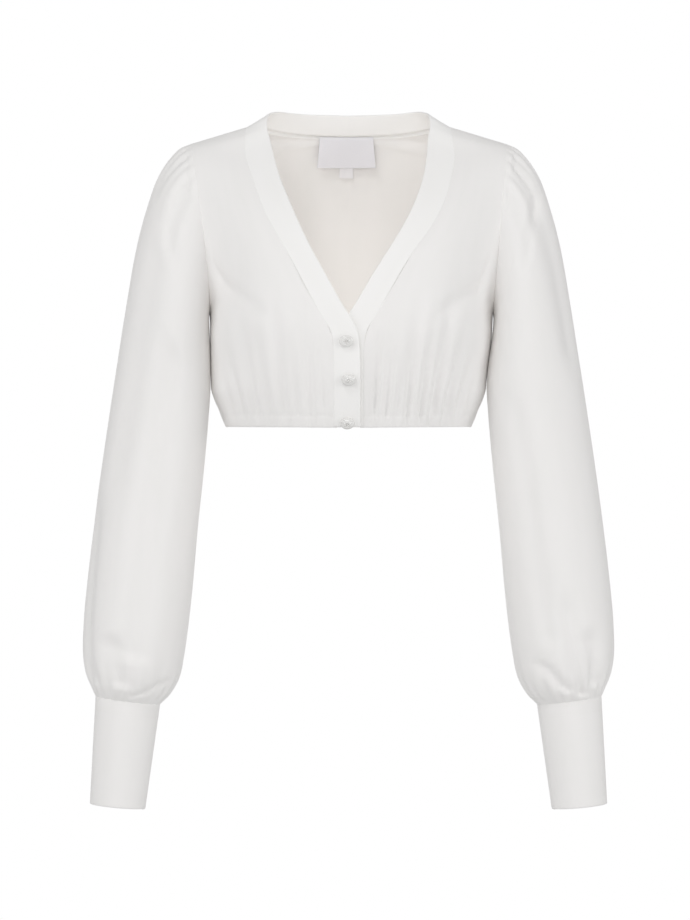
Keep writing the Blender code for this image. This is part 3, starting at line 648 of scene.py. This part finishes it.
# Large folds: first ring and angle, last ring and angle, depth, half width in
# degrees. Angles run from the outer side (0) over the front (90) to the body.
SLEEVE_FOLDS = {
    "right": ((6.0, 98, 12.2, 91, 5.2, 12), (0.9, 55, 3.8, 68, 4.0, 7), (11.5, 66, 13.6, 78, 5.0, 10),
              (13.2, 140, 14.4, 98, 3.2, 7), (7.0, 262, 12.5, 272, 5.0, 14), (0.6, 30, 3.4, 24, 2.6, 6),
              (3.0, 318, 9.5, 300, 4.0, 12), (9.0, 20, 13.5, 34, 3.2, 9), (4.5, 60, 8.5, 52, 2.6, 10)),
    "left": ((0.9, 33, 3.6, 46, 5.6, 10), (3.0, 46, 6.8, 31, 5.6, 12), (10.4, 85, 14.4, 67, 5.4, 8),
             (11.3, 60, 13.6, 47, 5.0, 8), (12.3, 120, 13.9, 90, 3.6, 7), (5.0, 255, 11.5, 268, 5.0, 14),
             (0.6, 66, 4.0, 74, 2.6, 7), (2.4, 322, 8.5, 306, 4.2, 12), (7.0, 118, 11.5, 108, 3.0, 9)),
}
FOLD_FADE = 0.7
# Small gathers, unevenly spaced: angle, length in mm, depth, half width in degrees
HEAD_GATHERS = {
    "right": ((-84, 22, 0.8, 3.0), (-70, 34, 1.2, 3.2), (-58, 26, 1.0, 2.6), (-47, 46, 1.6, 3.4),
              (-35, 30, 1.3, 2.6), (-25, 52, 1.8, 3.2), (-13, 34, 1.4, 2.6), (-3, 48, 1.8, 3.2),
              (8, 36, 1.5, 2.6), (17, 62, 2.1, 3.4), (29, 40, 1.6, 2.8), (40, 56, 1.9, 3.4),
              (53, 34, 1.3, 2.8), (66, 26, 1.0, 3.2), (80, 20, 0.7, 3.0)),
    "left": ((-80, 24, 0.8, 3.2), (-66, 30, 1.1, 2.8), (-53, 44, 1.5, 3.4), (-41, 28, 1.2, 2.6),
             (-30, 50, 1.8, 3.2), (-19, 36, 1.5, 2.8), (-8, 56, 1.9, 3.2), (4, 38, 1.5, 2.8),
             (14, 60, 2.0, 3.4), (25, 42, 1.7, 2.8), (37, 66, 2.2, 3.6), (50, 38, 1.5, 3.0),
             (62, 30, 1.2, 3.0), (76, 22, 0.8, 3.2)),
}
CUFF_GATHERS = {
    "right": ((6, 34, 1.8, 5), (23, 58, 2.6, 6), (42, 40, 2.0, 5), (58, 70, 3.0, 6), (77, 44, 2.2, 5),
              (93, 62, 2.8, 6), (111, 38, 2.0, 5), (128, 66, 2.8, 6), (147, 42, 2.2, 5), (166, 54, 2.4, 6),
              (186, 38, 2.0, 5), (203, 64, 2.8, 6), (223, 46, 2.2, 5), (240, 70, 3.0, 6), (259, 40, 2.0, 5),
              (276, 60, 2.8, 6), (297, 44, 2.2, 5), (315, 66, 2.8, 6), (334, 48, 2.2, 5), (349, 36, 1.8, 5)),
    "left": ((2, 40, 2.0, 5), (19, 62, 2.6, 6), (37, 44, 2.2, 5), (53, 76, 3.2, 6), (69, 48, 2.4, 5),
             (88, 66, 2.8, 6), (104, 42, 2.2, 5), (122, 58, 2.6, 6), (142, 40, 2.0, 5), (160, 62, 2.8, 6),
             (181, 42, 2.2, 5), (199, 56, 2.6, 6), (216, 40, 2.0, 5), (235, 68, 3.0, 6), (254, 46, 2.2, 5),
             (271, 64, 2.8, 6), (290, 40, 2.0, 5), (308, 58, 2.6, 6), (327, 44, 2.2, 5), (345, 52, 2.4, 6)),
}
# How small gathers start at their seam, how far from it they are full, in mm, and
# how they widen
HEAD_DRAWN = dict(start=0.15, full=6.0, narrow=0.8, widen=0.8)
CUFF_DRAWN = dict(start=0.25, full=12.0, narrow=0.9, widen=0.5)


def round_away(angle, middle):
    """Degrees from one angle to another, the short way round."""
    return (angle - middle + 180.0) % 360.0 - 180.0


def small_gathers(rows, degrees, from_seam, drawn):
    """How deep small gathers sink at an angle and a distance from their seam."""
    total = 0.0
    for angle, length, depth, width in rows:
        share = np.clip(from_seam / length, 0.0, 1.0)
        away = round_away(degrees, angle) / (width * (drawn["narrow"] + drawn["widen"] * share))
        start = drawn["start"] + (1.0 - drawn["start"]) * ramp(from_seam / drawn["full"])
        total = total + depth * start * (1.0 - ramp(share)) * np.exp(-away ** 2)
    return total


ring_steps = np.linspace(SLEEVE_STOPS[0], SLEEVE_STOPS[-1], 301)
ring_mid = [0.5 * (read(SLEEVE, "out_" + axis, ring_steps) + read(SLEEVE, "in_" + axis, ring_steps))
            for axis in "xyz"]
ring_run = np.concatenate(([0.0], np.cumsum(np.linalg.norm(np.diff(ring_mid, axis=1), axis=0))))


def sleeve_sink(name, ring, degrees):
    """How far a sleeve's folds and gathers sink."""
    below_head = np.interp(ring, ring_steps, ring_run)
    above_cuff = ring_run[-1] - below_head
    total = small_gathers(HEAD_GATHERS[name], degrees, below_head, HEAD_DRAWN)
    total = total + small_gathers(CUFF_GATHERS[name], degrees, above_cuff, CUFF_DRAWN)
    for ring_a, angle_a, ring_b, angle_b, depth, width in SLEEVE_FOLDS[name]:
        share = np.clip((ring - ring_a) / (ring_b - ring_a), 0.0, 1.0)
        away = round_away(degrees, angle_a + (angle_b - angle_a) * share)
        ends = ramp((ring - ring_a) / FOLD_FADE + 0.5) * ramp((ring_b - ring) / FOLD_FADE + 0.5)
        total = total + depth * ends * np.exp(-0.5 * (away / width) ** 2)
    return total


def sleeve_place(name, u, ring):
    """The outer surface of a sleeve: u once round it from its outermost line."""
    side = SIDES[name]
    angle = 2.0 * math.pi * u
    turned_part = 1.0 - ramp(ring / HEAD_END_RING)
    outer = xyz(*[read(SLEEVE, "out_" + axis, ring) for axis in "xyz"])
    inner = xyz(*[read(SLEEVE, "in_" + axis, ring) for axis in "xyz"])
    inner[..., 0] += side_ease(side, inner[..., 2])
    depth = read(SLEEVE, "depth", ring) * (1.0 - ARMHOLE_EGG * turned_part * np.cos(angle))
    across = xyz(-side["turn"] * turned_part * depth, -depth, 0.0)
    half = (outer - inner) * 0.5
    wave = np.cos(angle)[..., None]
    point = (outer + inner) * 0.5 + half * wave + across * np.sin(angle)[..., None]
    out = half / np.linalg.norm(half, axis=-1, keepdims=True) * wave
    out = out + xyz(0.0, -np.sin(angle), 0.0)
    point = point - out * sleeve_sink(name, ring, np.degrees(angle))[..., None]
    return point * (side["sign"], 1.0, 1.0)


seam_a = turned(0.5, 1, SEAM_TURN, SEAM_ALLOWANCE)
seam_b = turned(1.5, -1, SEAM_TURN, SEAM_ALLOWANCE)
head_edge = turned(0.0, 1, SEAM_TURN, HEAD_ALLOWANCE, 3, SEAM_MEET)
foot_tuck = np.array([np.full(len(TUCK_SHIFT), SLEEVE_STOPS[-1]), TUCK_SHIFT, TUCK_DEPTH])
for name, side in SIDES.items():
    across = np.hstack((seam_a, spread(0.5, 1.5, SLEEVE_COLUMNS), seam_b))
    down = np.hstack((head_edge, stretches(SLEEVE_STOPS, SLEEVE_ROWS),
                      edge_only(SLEEVE_STOPS[-1]), foot_tuck))
    points = lay(lambda u, v, name=name: sleeve_place(name, u, v), across, down, side["sign"])
    sleeve = cloth_piece("sleeve_" + name + "_cloth", [points], CLOTH, side["sign"] < 0, body_crepe)
    attach(sleeve, ["sleeve_" + name])


# Cuffs. Deep straight cuffs of the crepe folded double, sewn to the gathered
# sleeves along their upper edge.
# Outermost and innermost point and half the depth, at the cuff's top and foot
CUFF_TOP = ((251.7, -20.0, -569.3), (187.5, -21.0, -577.3), 29.5)
CUFF_FOOT = ((257.2, -23.0, -675.5), (202.0, -24.0, -680.5), 25.5)
FOLDED = 0.95
CUFF_HEIGHT = 104.0
CUFF_STITCH = 12.0
CUFF_INSIDE_GAP = 3.0
CUFF_TURN = 0.5
CUFF_ALLOWANCE = 4.0
CUFF_MEET = 0.7
CUFF_COLUMNS = 120
CUFF_ROWS = 40


def cuff_place(name, u, share):
    """The outer surface of a cuff: u once round it, share from its top down."""
    angle = 2.0 * math.pi * u
    outer = np.array(CUFF_TOP[0]) + (np.array(CUFF_FOOT[0]) - CUFF_TOP[0]) * share[..., None]
    inner = np.array(CUFF_TOP[1]) + (np.array(CUFF_FOOT[1]) - CUFF_TOP[1]) * share[..., None]
    depth = CUFF_TOP[2] + (CUFF_FOOT[2] - CUFF_TOP[2]) * share
    point = (outer + inner) * 0.5 + (outer - inner) * 0.5 * np.cos(angle)[..., None]
    point = point + xyz(0.0, -depth * np.sin(angle), 0.0)
    return point * (SIDES[name]["sign"], 1.0, 1.0)


foot_fold = turned(1.0, -1, FOLDED, CUFF_HEIGHT - CUFF_INSIDE_GAP, 26)
top_turn = turned(0.0, 1, CUFF_TURN, CUFF_ALLOWANCE, 3, CUFF_MEET)[:, 1:]
for name, side in SIDES.items():
    across = np.hstack((seam_a, spread(0.5, 1.5, CUFF_COLUMNS), seam_b))
    down = np.hstack((top_turn, spread(0.0, 1.0, CUFF_ROWS), foot_fold))
    points = lay(lambda u, v, name=name: cuff_place(name, u, v), across, down, side["sign"])
    cuff = cloth_piece("cuff_" + name + "_cloth", [points], CLOTH, side["sign"] < 0, body_crepe)
    attach(cuff, ["cuff_" + name])


# Neck band and placket. A straight strip of crepe folded double round the neck
# and down both fronts to the hem, the wearer's right lapping over the left.
BAND_TURN = 0.5
BAND_LAP = 0.5
BAND_PROUD = 0.2
BAND_FOOT = 14.96
BAND_ALLOWANCE = 4.0
BAND_UNDER = 22.0
BAND_END = 3.0
BAND_COLUMNS = 12
BACK_BAND_ROWS = 90
FRONT_BAND_ROWS = 170


def band_place(side, u, run):
    """The outer surface of the band: u from its seam to its folded edge."""
    seam = band_line(side, run, "seam")
    edge = band_line(side, run, "edge")
    return (seam + (edge - seam) * u[..., None]) * (side["sign"], 1.0, 1.0)


def back_band_place(u, run):
    """The band across the back neck: run from -3 on the right to 3 on the left."""
    on_left = (run > 0.0)[..., None]
    return np.where(on_left, band_place(SIDES["left"], u, run), band_place(SIDES["right"], u, run))


# the same crepe doubled, a little whiter in itself, and set lighter still as painted light that lifts the
# band where it turns away from the lamps
band_crepe_painted_lighter = crepe("band_crepe_painted_lighter", "#f9f8f7", "#f6f5f3")
band_across = np.hstack((turned(0.0, 1, BAND_TURN, BAND_ALLOWANCE, 3, BAND_LAP)[:, 1:],
                         spread(0.0, 1.0, BAND_COLUMNS),
                         turned(1.0, -1, FOLDED, BAND_UNDER, 10)))
band_across[2] -= BAND_PROUD
back_runs = np.hstack((turned(-SHOULDER_RUN, 1, BAND_TURN, BAND_END, 3, BAND_LAP),
                       spread(-SHOULDER_RUN, SHOULDER_RUN, BACK_BAND_ROWS),
                       turned(SHOULDER_RUN, -1, BAND_TURN, BAND_END, 3, BAND_LAP)))
points = lay(back_band_place, band_across, back_runs, 1.0)
neck = cloth_piece("neck_band_cloth", [points], CLOTH, False, band_crepe_painted_lighter)
attach(neck, ["band_back"])
front_runs = np.hstack((turned(SHOULDER_RUN, 1, BAND_TURN, BAND_END, 3, BAND_LAP),
                        spread(SHOULDER_RUN, BAND_FOOT, FRONT_BAND_ROWS),
                        turned(BAND_FOOT, -1, BAND_TURN, BAND_END)))
for name, side in SIDES.items():
    points = lay(lambda u, v, side=side: band_place(side, u, v), band_across, front_runs, side["sign"])
    band = cloth_piece("band_" + name + "_cloth", [points], CLOTH, side["sign"] < 0, band_crepe_painted_lighter)
    attach(band, ["band_" + name])


# Buttons. Three oval domes of pearly polyester resin with a raised flower, a
# groove and a rim, spun and then shaped, lying on the right placket that they
# fasten over the left one.
BUTTONS = (
    # name, run down the band, share across it, turn of the flower in radians
    ("button_1", 11.95, 0.49, 0.20),
    ("button_2", 13.32, 0.55, 1.10),
    ("button_3", 14.81, 0.49, -0.45),
)
BUTTON_HALF = (7.1, 5.8, 4.6)
BUTTON_BACK = 0.18
BUTTON_LIFT = 0.2
BUTTON_TURNS = 120
BUTTON_WELD = 0.0005
# The face in shares of the radius and height: rim, dome, and the soft top that
# cuts the dome off
RIM_RISE = 0.40
DOME_RISE = 0.52
DOME_REACH = 0.98
TOP_RISE = 0.78
TOP_BOW = 0.14
FACE_END = 0.94
FACE_RINGS = 48
RIM_ROUND = np.radians((25, 50, 75, 90))
RIM_DROP = (0.30, 0.34, 0.40, 0.50)
# Ripples of the face: distance from the middle, half width, height
GROOVE = (0.85, 0.035, -0.06)
RING = (0.53, 0.03, -0.05)
PETAL = (0.29, 0.11, 0.22)
KNOB = (0.0, 0.10, 0.12)
CUP = (0.15, 0.05, -0.16)
PETALS = 6
FLOWER_END = 0.7
FACE_LOW = 0.2


def ripple(reach, shape):
    """The height of a round ripple at a distance from the button's middle."""
    at, width, height = shape
    return height * np.exp(-((reach - at) / width) ** 2)


def dome(reach):
    """Height of a button's face at a share of its radius, flower left out."""
    inner = RIM_RISE + DOME_RISE * np.sqrt(np.maximum(1.0 - (reach / DOME_REACH) ** 2, 0.0))
    top = TOP_RISE + TOP_BOW * np.cos(reach)
    return np.minimum(inner, top) + ripple(reach, GROOVE) + ripple(reach, RING)


def petal_rise(reach, turn):
    """How much the flower stands out: petals round a small knob."""
    petals = ripple(reach, PETAL) * (0.5 + 0.5 * np.cos(PETALS * turn)) ** 0.8
    return petals + ripple(reach, KNOB) + ripple(reach, CUP)


face_rim = FACE_END + (1.0 - FACE_END) * np.sin(RIM_ROUND)
face_reach = np.concatenate((np.linspace(0.0, FACE_END, FACE_RINGS), face_rim))
face_rise = dome(np.minimum(face_reach, FACE_END))
face_rise[FACE_RINGS:] -= RIM_DROP
back_reach = (0.99, 0.96, 0.90, 0.6, 0.3, 0.0)
back_rise = (-0.04, -0.12, -BUTTON_BACK, -BUTTON_BACK, -BUTTON_BACK, -BUTTON_BACK)
SWIRL = 3.0
# poured resin with pearl powder: cloudy bands about 3 mm wide, under a polished
# face with small sharp highlights. The powder reflects more than clear resin, and
# the high IOR stands for that.
pearl, tree, surface = new_material("pearl_polyester_resin")
inside_resin = add_node(tree, "TexCoord").outputs["Object"]
swirl = add_node(tree, "TexNoise", {"Vector": inside_resin, "Scale": TO_MM / SWIRL,
                                    "Detail": 2.0, "Distortion": 0.8})
two_tones(tree, surface, swirl.outputs["Fac"], "#f3f2f0", "#dddcd9")
surface.inputs["Roughness"].default_value = 0.14
surface.inputs["IOR"].default_value = 1.9
surface.inputs["Coat Weight"].default_value = 1.0
surface.inputs["Coat Roughness"].default_value = 0.06
for name, run, across, spun in BUTTONS:
    bm = bmesh.new()
    profile = [bm.verts.new((r, 0.0, h)) for r, h in zip(face_reach, face_rise)]
    profile += [bm.verts.new((r, 0.0, h)) for r, h in zip(back_reach, back_rise)]
    edges = [bm.edges.new(pair) for pair in zip(profile[:-1], profile[1:])]
    bmesh.ops.spin(bm, geom=profile + edges, cent=(0.0, 0.0, 0.0), axis=(0.0, 0.0, 1.0),
                   angle=2.0 * math.pi, steps=BUTTON_TURNS, use_merge=True)
    bmesh.ops.remove_doubles(bm, verts=bm.verts, dist=BUTTON_WELD)
    bmesh.ops.recalc_face_normals(bm, faces=bm.faces)
    share_at = np.array([across])
    run_at = np.array([run])
    step = 0.05
    seat = band_place(SIDES["right"], share_at, run_at)[0]
    down = band_place(SIDES["right"], share_at, run_at + step)[0] - seat
    along = band_place(SIDES["right"], share_at + step, run_at)[0] - seat
    out = Vector(np.cross(down, along)).normalized()
    right = Vector((1.0, 0.0, 0.0))
    right = (right - out * right.dot(out)).normalized()
    up = out.cross(right)
    seat = Vector(seat) + out * (BUTTON_LIFT + BUTTON_BACK * BUTTON_HALF[2])
    for vert in bm.verts:
        reach = math.hypot(vert.co.x, vert.co.y)
        if vert.co.z > FACE_LOW and reach < FLOWER_END:
            vert.co.z += float(petal_rise(reach, math.atan2(vert.co.y, vert.co.x) + spun))
        local = (vert.co.x * BUTTON_HALF[0], vert.co.y * BUTTON_HALF[1], vert.co.z * BUTTON_HALF[2])
        vert.co = (seat + right * local[0] + up * local[1] + out * local[2]) * MM
    button = finished(bm, name + "_resin", pearl)
    attach(button, [name])


# Label and size tab. A bare woven satin label with turned ends, hung from the
# neck seam inside the back, and a small doubled tab below it.
LABEL_WALL = 0.3
LABEL_TURN = 0.28
# How far the back curves forwards, per squared mm from its middle
LABEL_CROWN = 0.00247
LABEL_END = 4.0
LABEL_HEM = 3.0
LABEL_COLUMNS = 40
LABEL_ROWS = 30
# Centre, then width, height and distance off the back, each at top and foot, and
# how far the foot curls
LABELS = {
    "neck_label": dict(x=-2.0, wide=(54.0, 59.5), z=(-6.3, -37.2), off=(3.0, 5.4), curl=1.3),
    "size_tab": dict(x=-2.2, wide=(14.0, 14.0), z=(-31.0, -47.2), off=(2.6, 3.4), curl=0.4),
}
WEFT = 0.2
YARN_RUN = 2.4
YARN_HEIGHT = 0.00005


def label_place(name, u, share):
    """The face of a label: u across it, share from its top down."""
    label = LABELS[name]
    wide, z, off = [label[key][0] + (label[key][1] - label[key][0]) * share for key in ("wide", "z", "off")]
    x = label["x"] + (u - 0.5) * wide
    curled = share ** 2 * (4.0 * (u - 0.5) ** 2 - 0.3)
    waved = 0.25 * np.sin(7.0 * u + 3.0 * share) * share
    off = off + label["curl"] * (curled + waved)
    back_y = np.interp(z, BACK["z"][:NECK_LEVEL + 1], BACK["y"][:NECK_LEVEL + 1])
    return xyz(x, back_y - LABEL_CROWN * x * x - off, z)


def satin(name, light, shade):
    """Woven polyester satin: smooth, softly glossy along its fine weft lines.

    The lines are 0.2 mm apart and broken every 2.4 mm or so, as the yarns float.
    """
    material, tree, surface = new_material(name)
    weave = add_node(tree, "UVMap", uv_map="weave")
    lines = add_node(tree, "Mapping", {"Vector": weave.outputs["UV"],
                                       "Scale": (TO_MM / YARN_RUN, TO_MM / WEFT, 1.0)})
    yarn = add_node(tree, "TexNoise", {"Vector": lines.outputs["Vector"], "Scale": 1.0, "Detail": 1.0})
    two_tones(tree, surface, yarn.outputs["Fac"], light, shade)
    raised(tree, surface, yarn.outputs["Fac"], 0.3, YARN_HEIGHT)
    surface.inputs["Roughness"].default_value = 0.48
    surface.inputs["Sheen Weight"].default_value = 0.2
    return material


def hem_both(allowance, count):
    """Rows or columns across a label whose two ends are turned in."""
    first = turned(0.0, 1, LABEL_TURN, allowance)
    return np.hstack((first, spread(0.0, 1.0, count), turned(1.0, -1, LABEL_TURN, allowance)))


def hung_label(name, woven):
    """A label with all four edges turned in, hung inside the back."""
    across = hem_both(LABEL_END, LABEL_COLUMNS)
    down = hem_both(LABEL_HEM, LABEL_ROWS)
    points = lay(lambda u, v: label_place(name, u, v), across, down, -1.0)
    hung = cloth_piece(name + "_satin", [points], LABEL_WALL, True, woven)
    attach(hung, [name])
    return hung


# bleached yarn with a faint blue cast, cooler than the crepe round it
neck_label = hung_label("neck_label", satin("woven_label_satin", "#f1f0f4", "#e9e8ed"))
# the same yarn doubled, so it shows brighter
size_tab = hung_label("size_tab", satin("woven_tab_satin", "#f6f5f7", "#efeef1"))


# Sewing thread. Runs of lockstitch in matching polyester thread along the
# elastic casing, round the cuffs below their top and along the label's top.
THREAD = 0.32
STITCH = 2.3
STITCH_GAP = 0.75
FIRST_STITCH = 0.6
THREAD_LIFT = 0.1
PATH_STEPS = 400
CASING_RUN = 14.59
CASING_LEVEL = 0.45
LABEL_STITCH = 0.045
# twisted polyester: nearly the cloth's white and smoother, so each stitch shows as
# a small bright bead
twisted_thread, tree, surface = new_material("polyester_sewing_thread")
surface.inputs["Base Color"].default_value = linear("#efedea")
surface.inputs["Roughness"].default_value = 0.5


def stitches(name, paths):
    """Stitches laid end to end along paths of points in millimetres."""
    bm = bmesh.new()
    for path in paths:
        run = np.concatenate(([0.0], np.cumsum(np.linalg.norm(np.diff(path, axis=0), axis=1))))
        for start in np.arange(FIRST_STITCH, run[-1] - STITCH, STITCH + STITCH_GAP):
            ends = [Vector([np.interp(start + part, run, path[:, axis]) for axis in range(3)])
                    for part in (0.0, STITCH)]
            way = (ends[1] - ends[0]).normalized()
            turn = way.to_track_quat("X", "Z").to_matrix().to_4x4()
            size = Matrix.Diagonal((STITCH, THREAD, THREAD, 1.0))
            laid = Matrix.Scale(MM, 4) @ Matrix.Translation((ends[0] + ends[1]) * 0.5) @ turn @ size
            bmesh.ops.create_uvsphere(bm, u_segments=8, v_segments=6, radius=0.5, matrix=laid)
    sewn = finished(bm, name, twisted_thread)
    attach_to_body(sewn, "root")


def surface_path(place, across, row, inside):
    """Points along one row of a surface, lifted a little off it."""
    columns = np.array([across, np.zeros(len(across)), np.zeros(len(across))])
    return lay(place, columns, np.array([[row], [0.0], [-THREAD_LIFT]]), inside)[0]


def along_casing(place, across, row, inside, sign):
    """Points along the casing's stitch line, at one height above the hem."""
    step = 0.02 * sign
    near = surface_path(place, across, row, inside)
    far = surface_path(place, across, row + step, inside)
    rise = (HEM_Z + CASING - near[:, 2]) / (far[:, 2] - near[:, 2])
    return near + (far - near) * rise[:, None]


front_steps = np.linspace(0.005, 0.995, PATH_STEPS)
back_steps = np.linspace(0.0, 0.995, PATH_STEPS)
cuff_steps = np.linspace(0.5, 1.5, PATH_STEPS)
label_steps = np.linspace(0.03, 0.97, 60)
casing_paths = []
cuff_paths = []
for name, side in SIDES.items():
    inside = -side["sign"]
    casing_paths.append(along_casing(lambda u, v, name=name: front_half(name, u, v),
                                     front_steps, CASING_RUN, inside, -1))
    casing_paths.append(along_casing(lambda u, v, side=side: back_half(side, u, v),
                                     back_steps, CASING_LEVEL, inside, 1))
    cuff_paths.append(surface_path(lambda u, v, name=name: cuff_place(name, u, v),
                                   cuff_steps, CUFF_STITCH / CUFF_HEIGHT, side["sign"]))
label_path = surface_path(lambda u, v: label_place("neck_label", u, v), label_steps, LABEL_STITCH, -1.0)
stitches("casing_stitches", casing_paths)
stitches("cuff_stitches", cuff_paths)
stitches("label_stitches", [label_path])


# Studio. A white floor far below the blouse and an even white surround. Large
# soft lamps stand before, above, beside and behind it, and a small one inside the
# torso lights the inside of the back.
SURROUND_LIGHT = 0.38
FLOOR_RADIUS = 4.3
FLOOR_Z = -1.3
LIGHTS = (
    # name, place, aim and size in metres, power in watts, colour
    ("key", (-1.0, -2.1, 2.3), (0.0, 0.0, -0.3), 0.9, 18.0, "#ffffff"),
    ("front", (0.0, -5.0, 0.4), (0.0, 0.0, -0.3), 3.0, 46.0, "#ffffff"),
    ("left", (-3.0, -1.8, 0.4), (0.0, 0.0, -0.2), 2.0, 23.0, "#ffffff"),
    ("right", (3.0, -1.8, 0.4), (0.0, 0.0, -0.2), 2.0, 31.0, "#ffffff"),
    ("behind", (0.0, 5.0, 0.3), (0.0, 0.0, -0.3), 5.0, 90.0, "#ffffff"),
    ("inside", (0.0, -0.05, -0.30), (0.0, 0.06, 0.0), 0.09, 0.085, "#fffaf3"),
)
floor_bm = bmesh.new()
bmesh.ops.create_circle(floor_bm, cap_ends=True, segments=96, radius=FLOOR_RADIUS)
bmesh.ops.translate(floor_bm, verts=floor_bm.verts, vec=(0.0, 0.0, FLOOR_Z))
# rolled matte paint, which sends soft light up and shows no reflection
floor_paint, tree, surface = new_material("white_floor_paint")
surface.inputs["Base Color"].default_value = linear("#e8e8e8")
surface.inputs["Roughness"].default_value = 0.9
floor = finished(floor_bm, "floor", floor_paint)

# pure white where the camera looks past the blouse, and dimmer as a light
world = bpy.data.worlds.new("white_surround")
world.use_nodes = True
surround = world.node_tree
seen = add_node(surround, "LightPath").outputs["Is Camera Ray"]
level = add_node(surround, "MapRange", {"Value": seen, "To Min": SURROUND_LIGHT, "To Max": 1.0})
surround.links.new(level.outputs["Result"], surround.nodes["Background"].inputs["Strength"])
surround.nodes["Background"].inputs["Color"].default_value = (1.0, 1.0, 1.0, 1.0)
bpy.context.scene.world = world
bpy.context.scene.cycles.diffuse_bounces = 12
bpy.context.scene.cycles.max_bounces = 16
bpy.context.scene.view_settings.view_transform = "Standard"
for name, place, aim, size, power, tint in LIGHTS:
    light = bpy.data.lights.new(name, "AREA")
    light.size = size
    light.energy = power
    light.color = linear(tint)[:3]
    lamp = bpy.data.objects.new(name, light)
    lamp.location = place
    lamp.rotation_euler = (Vector(aim) - Vector(place)).to_track_quat("-Z", "Y").to_euler()
    lamp.visible_camera = False
    bpy.context.scene.collection.objects.link(lamp)
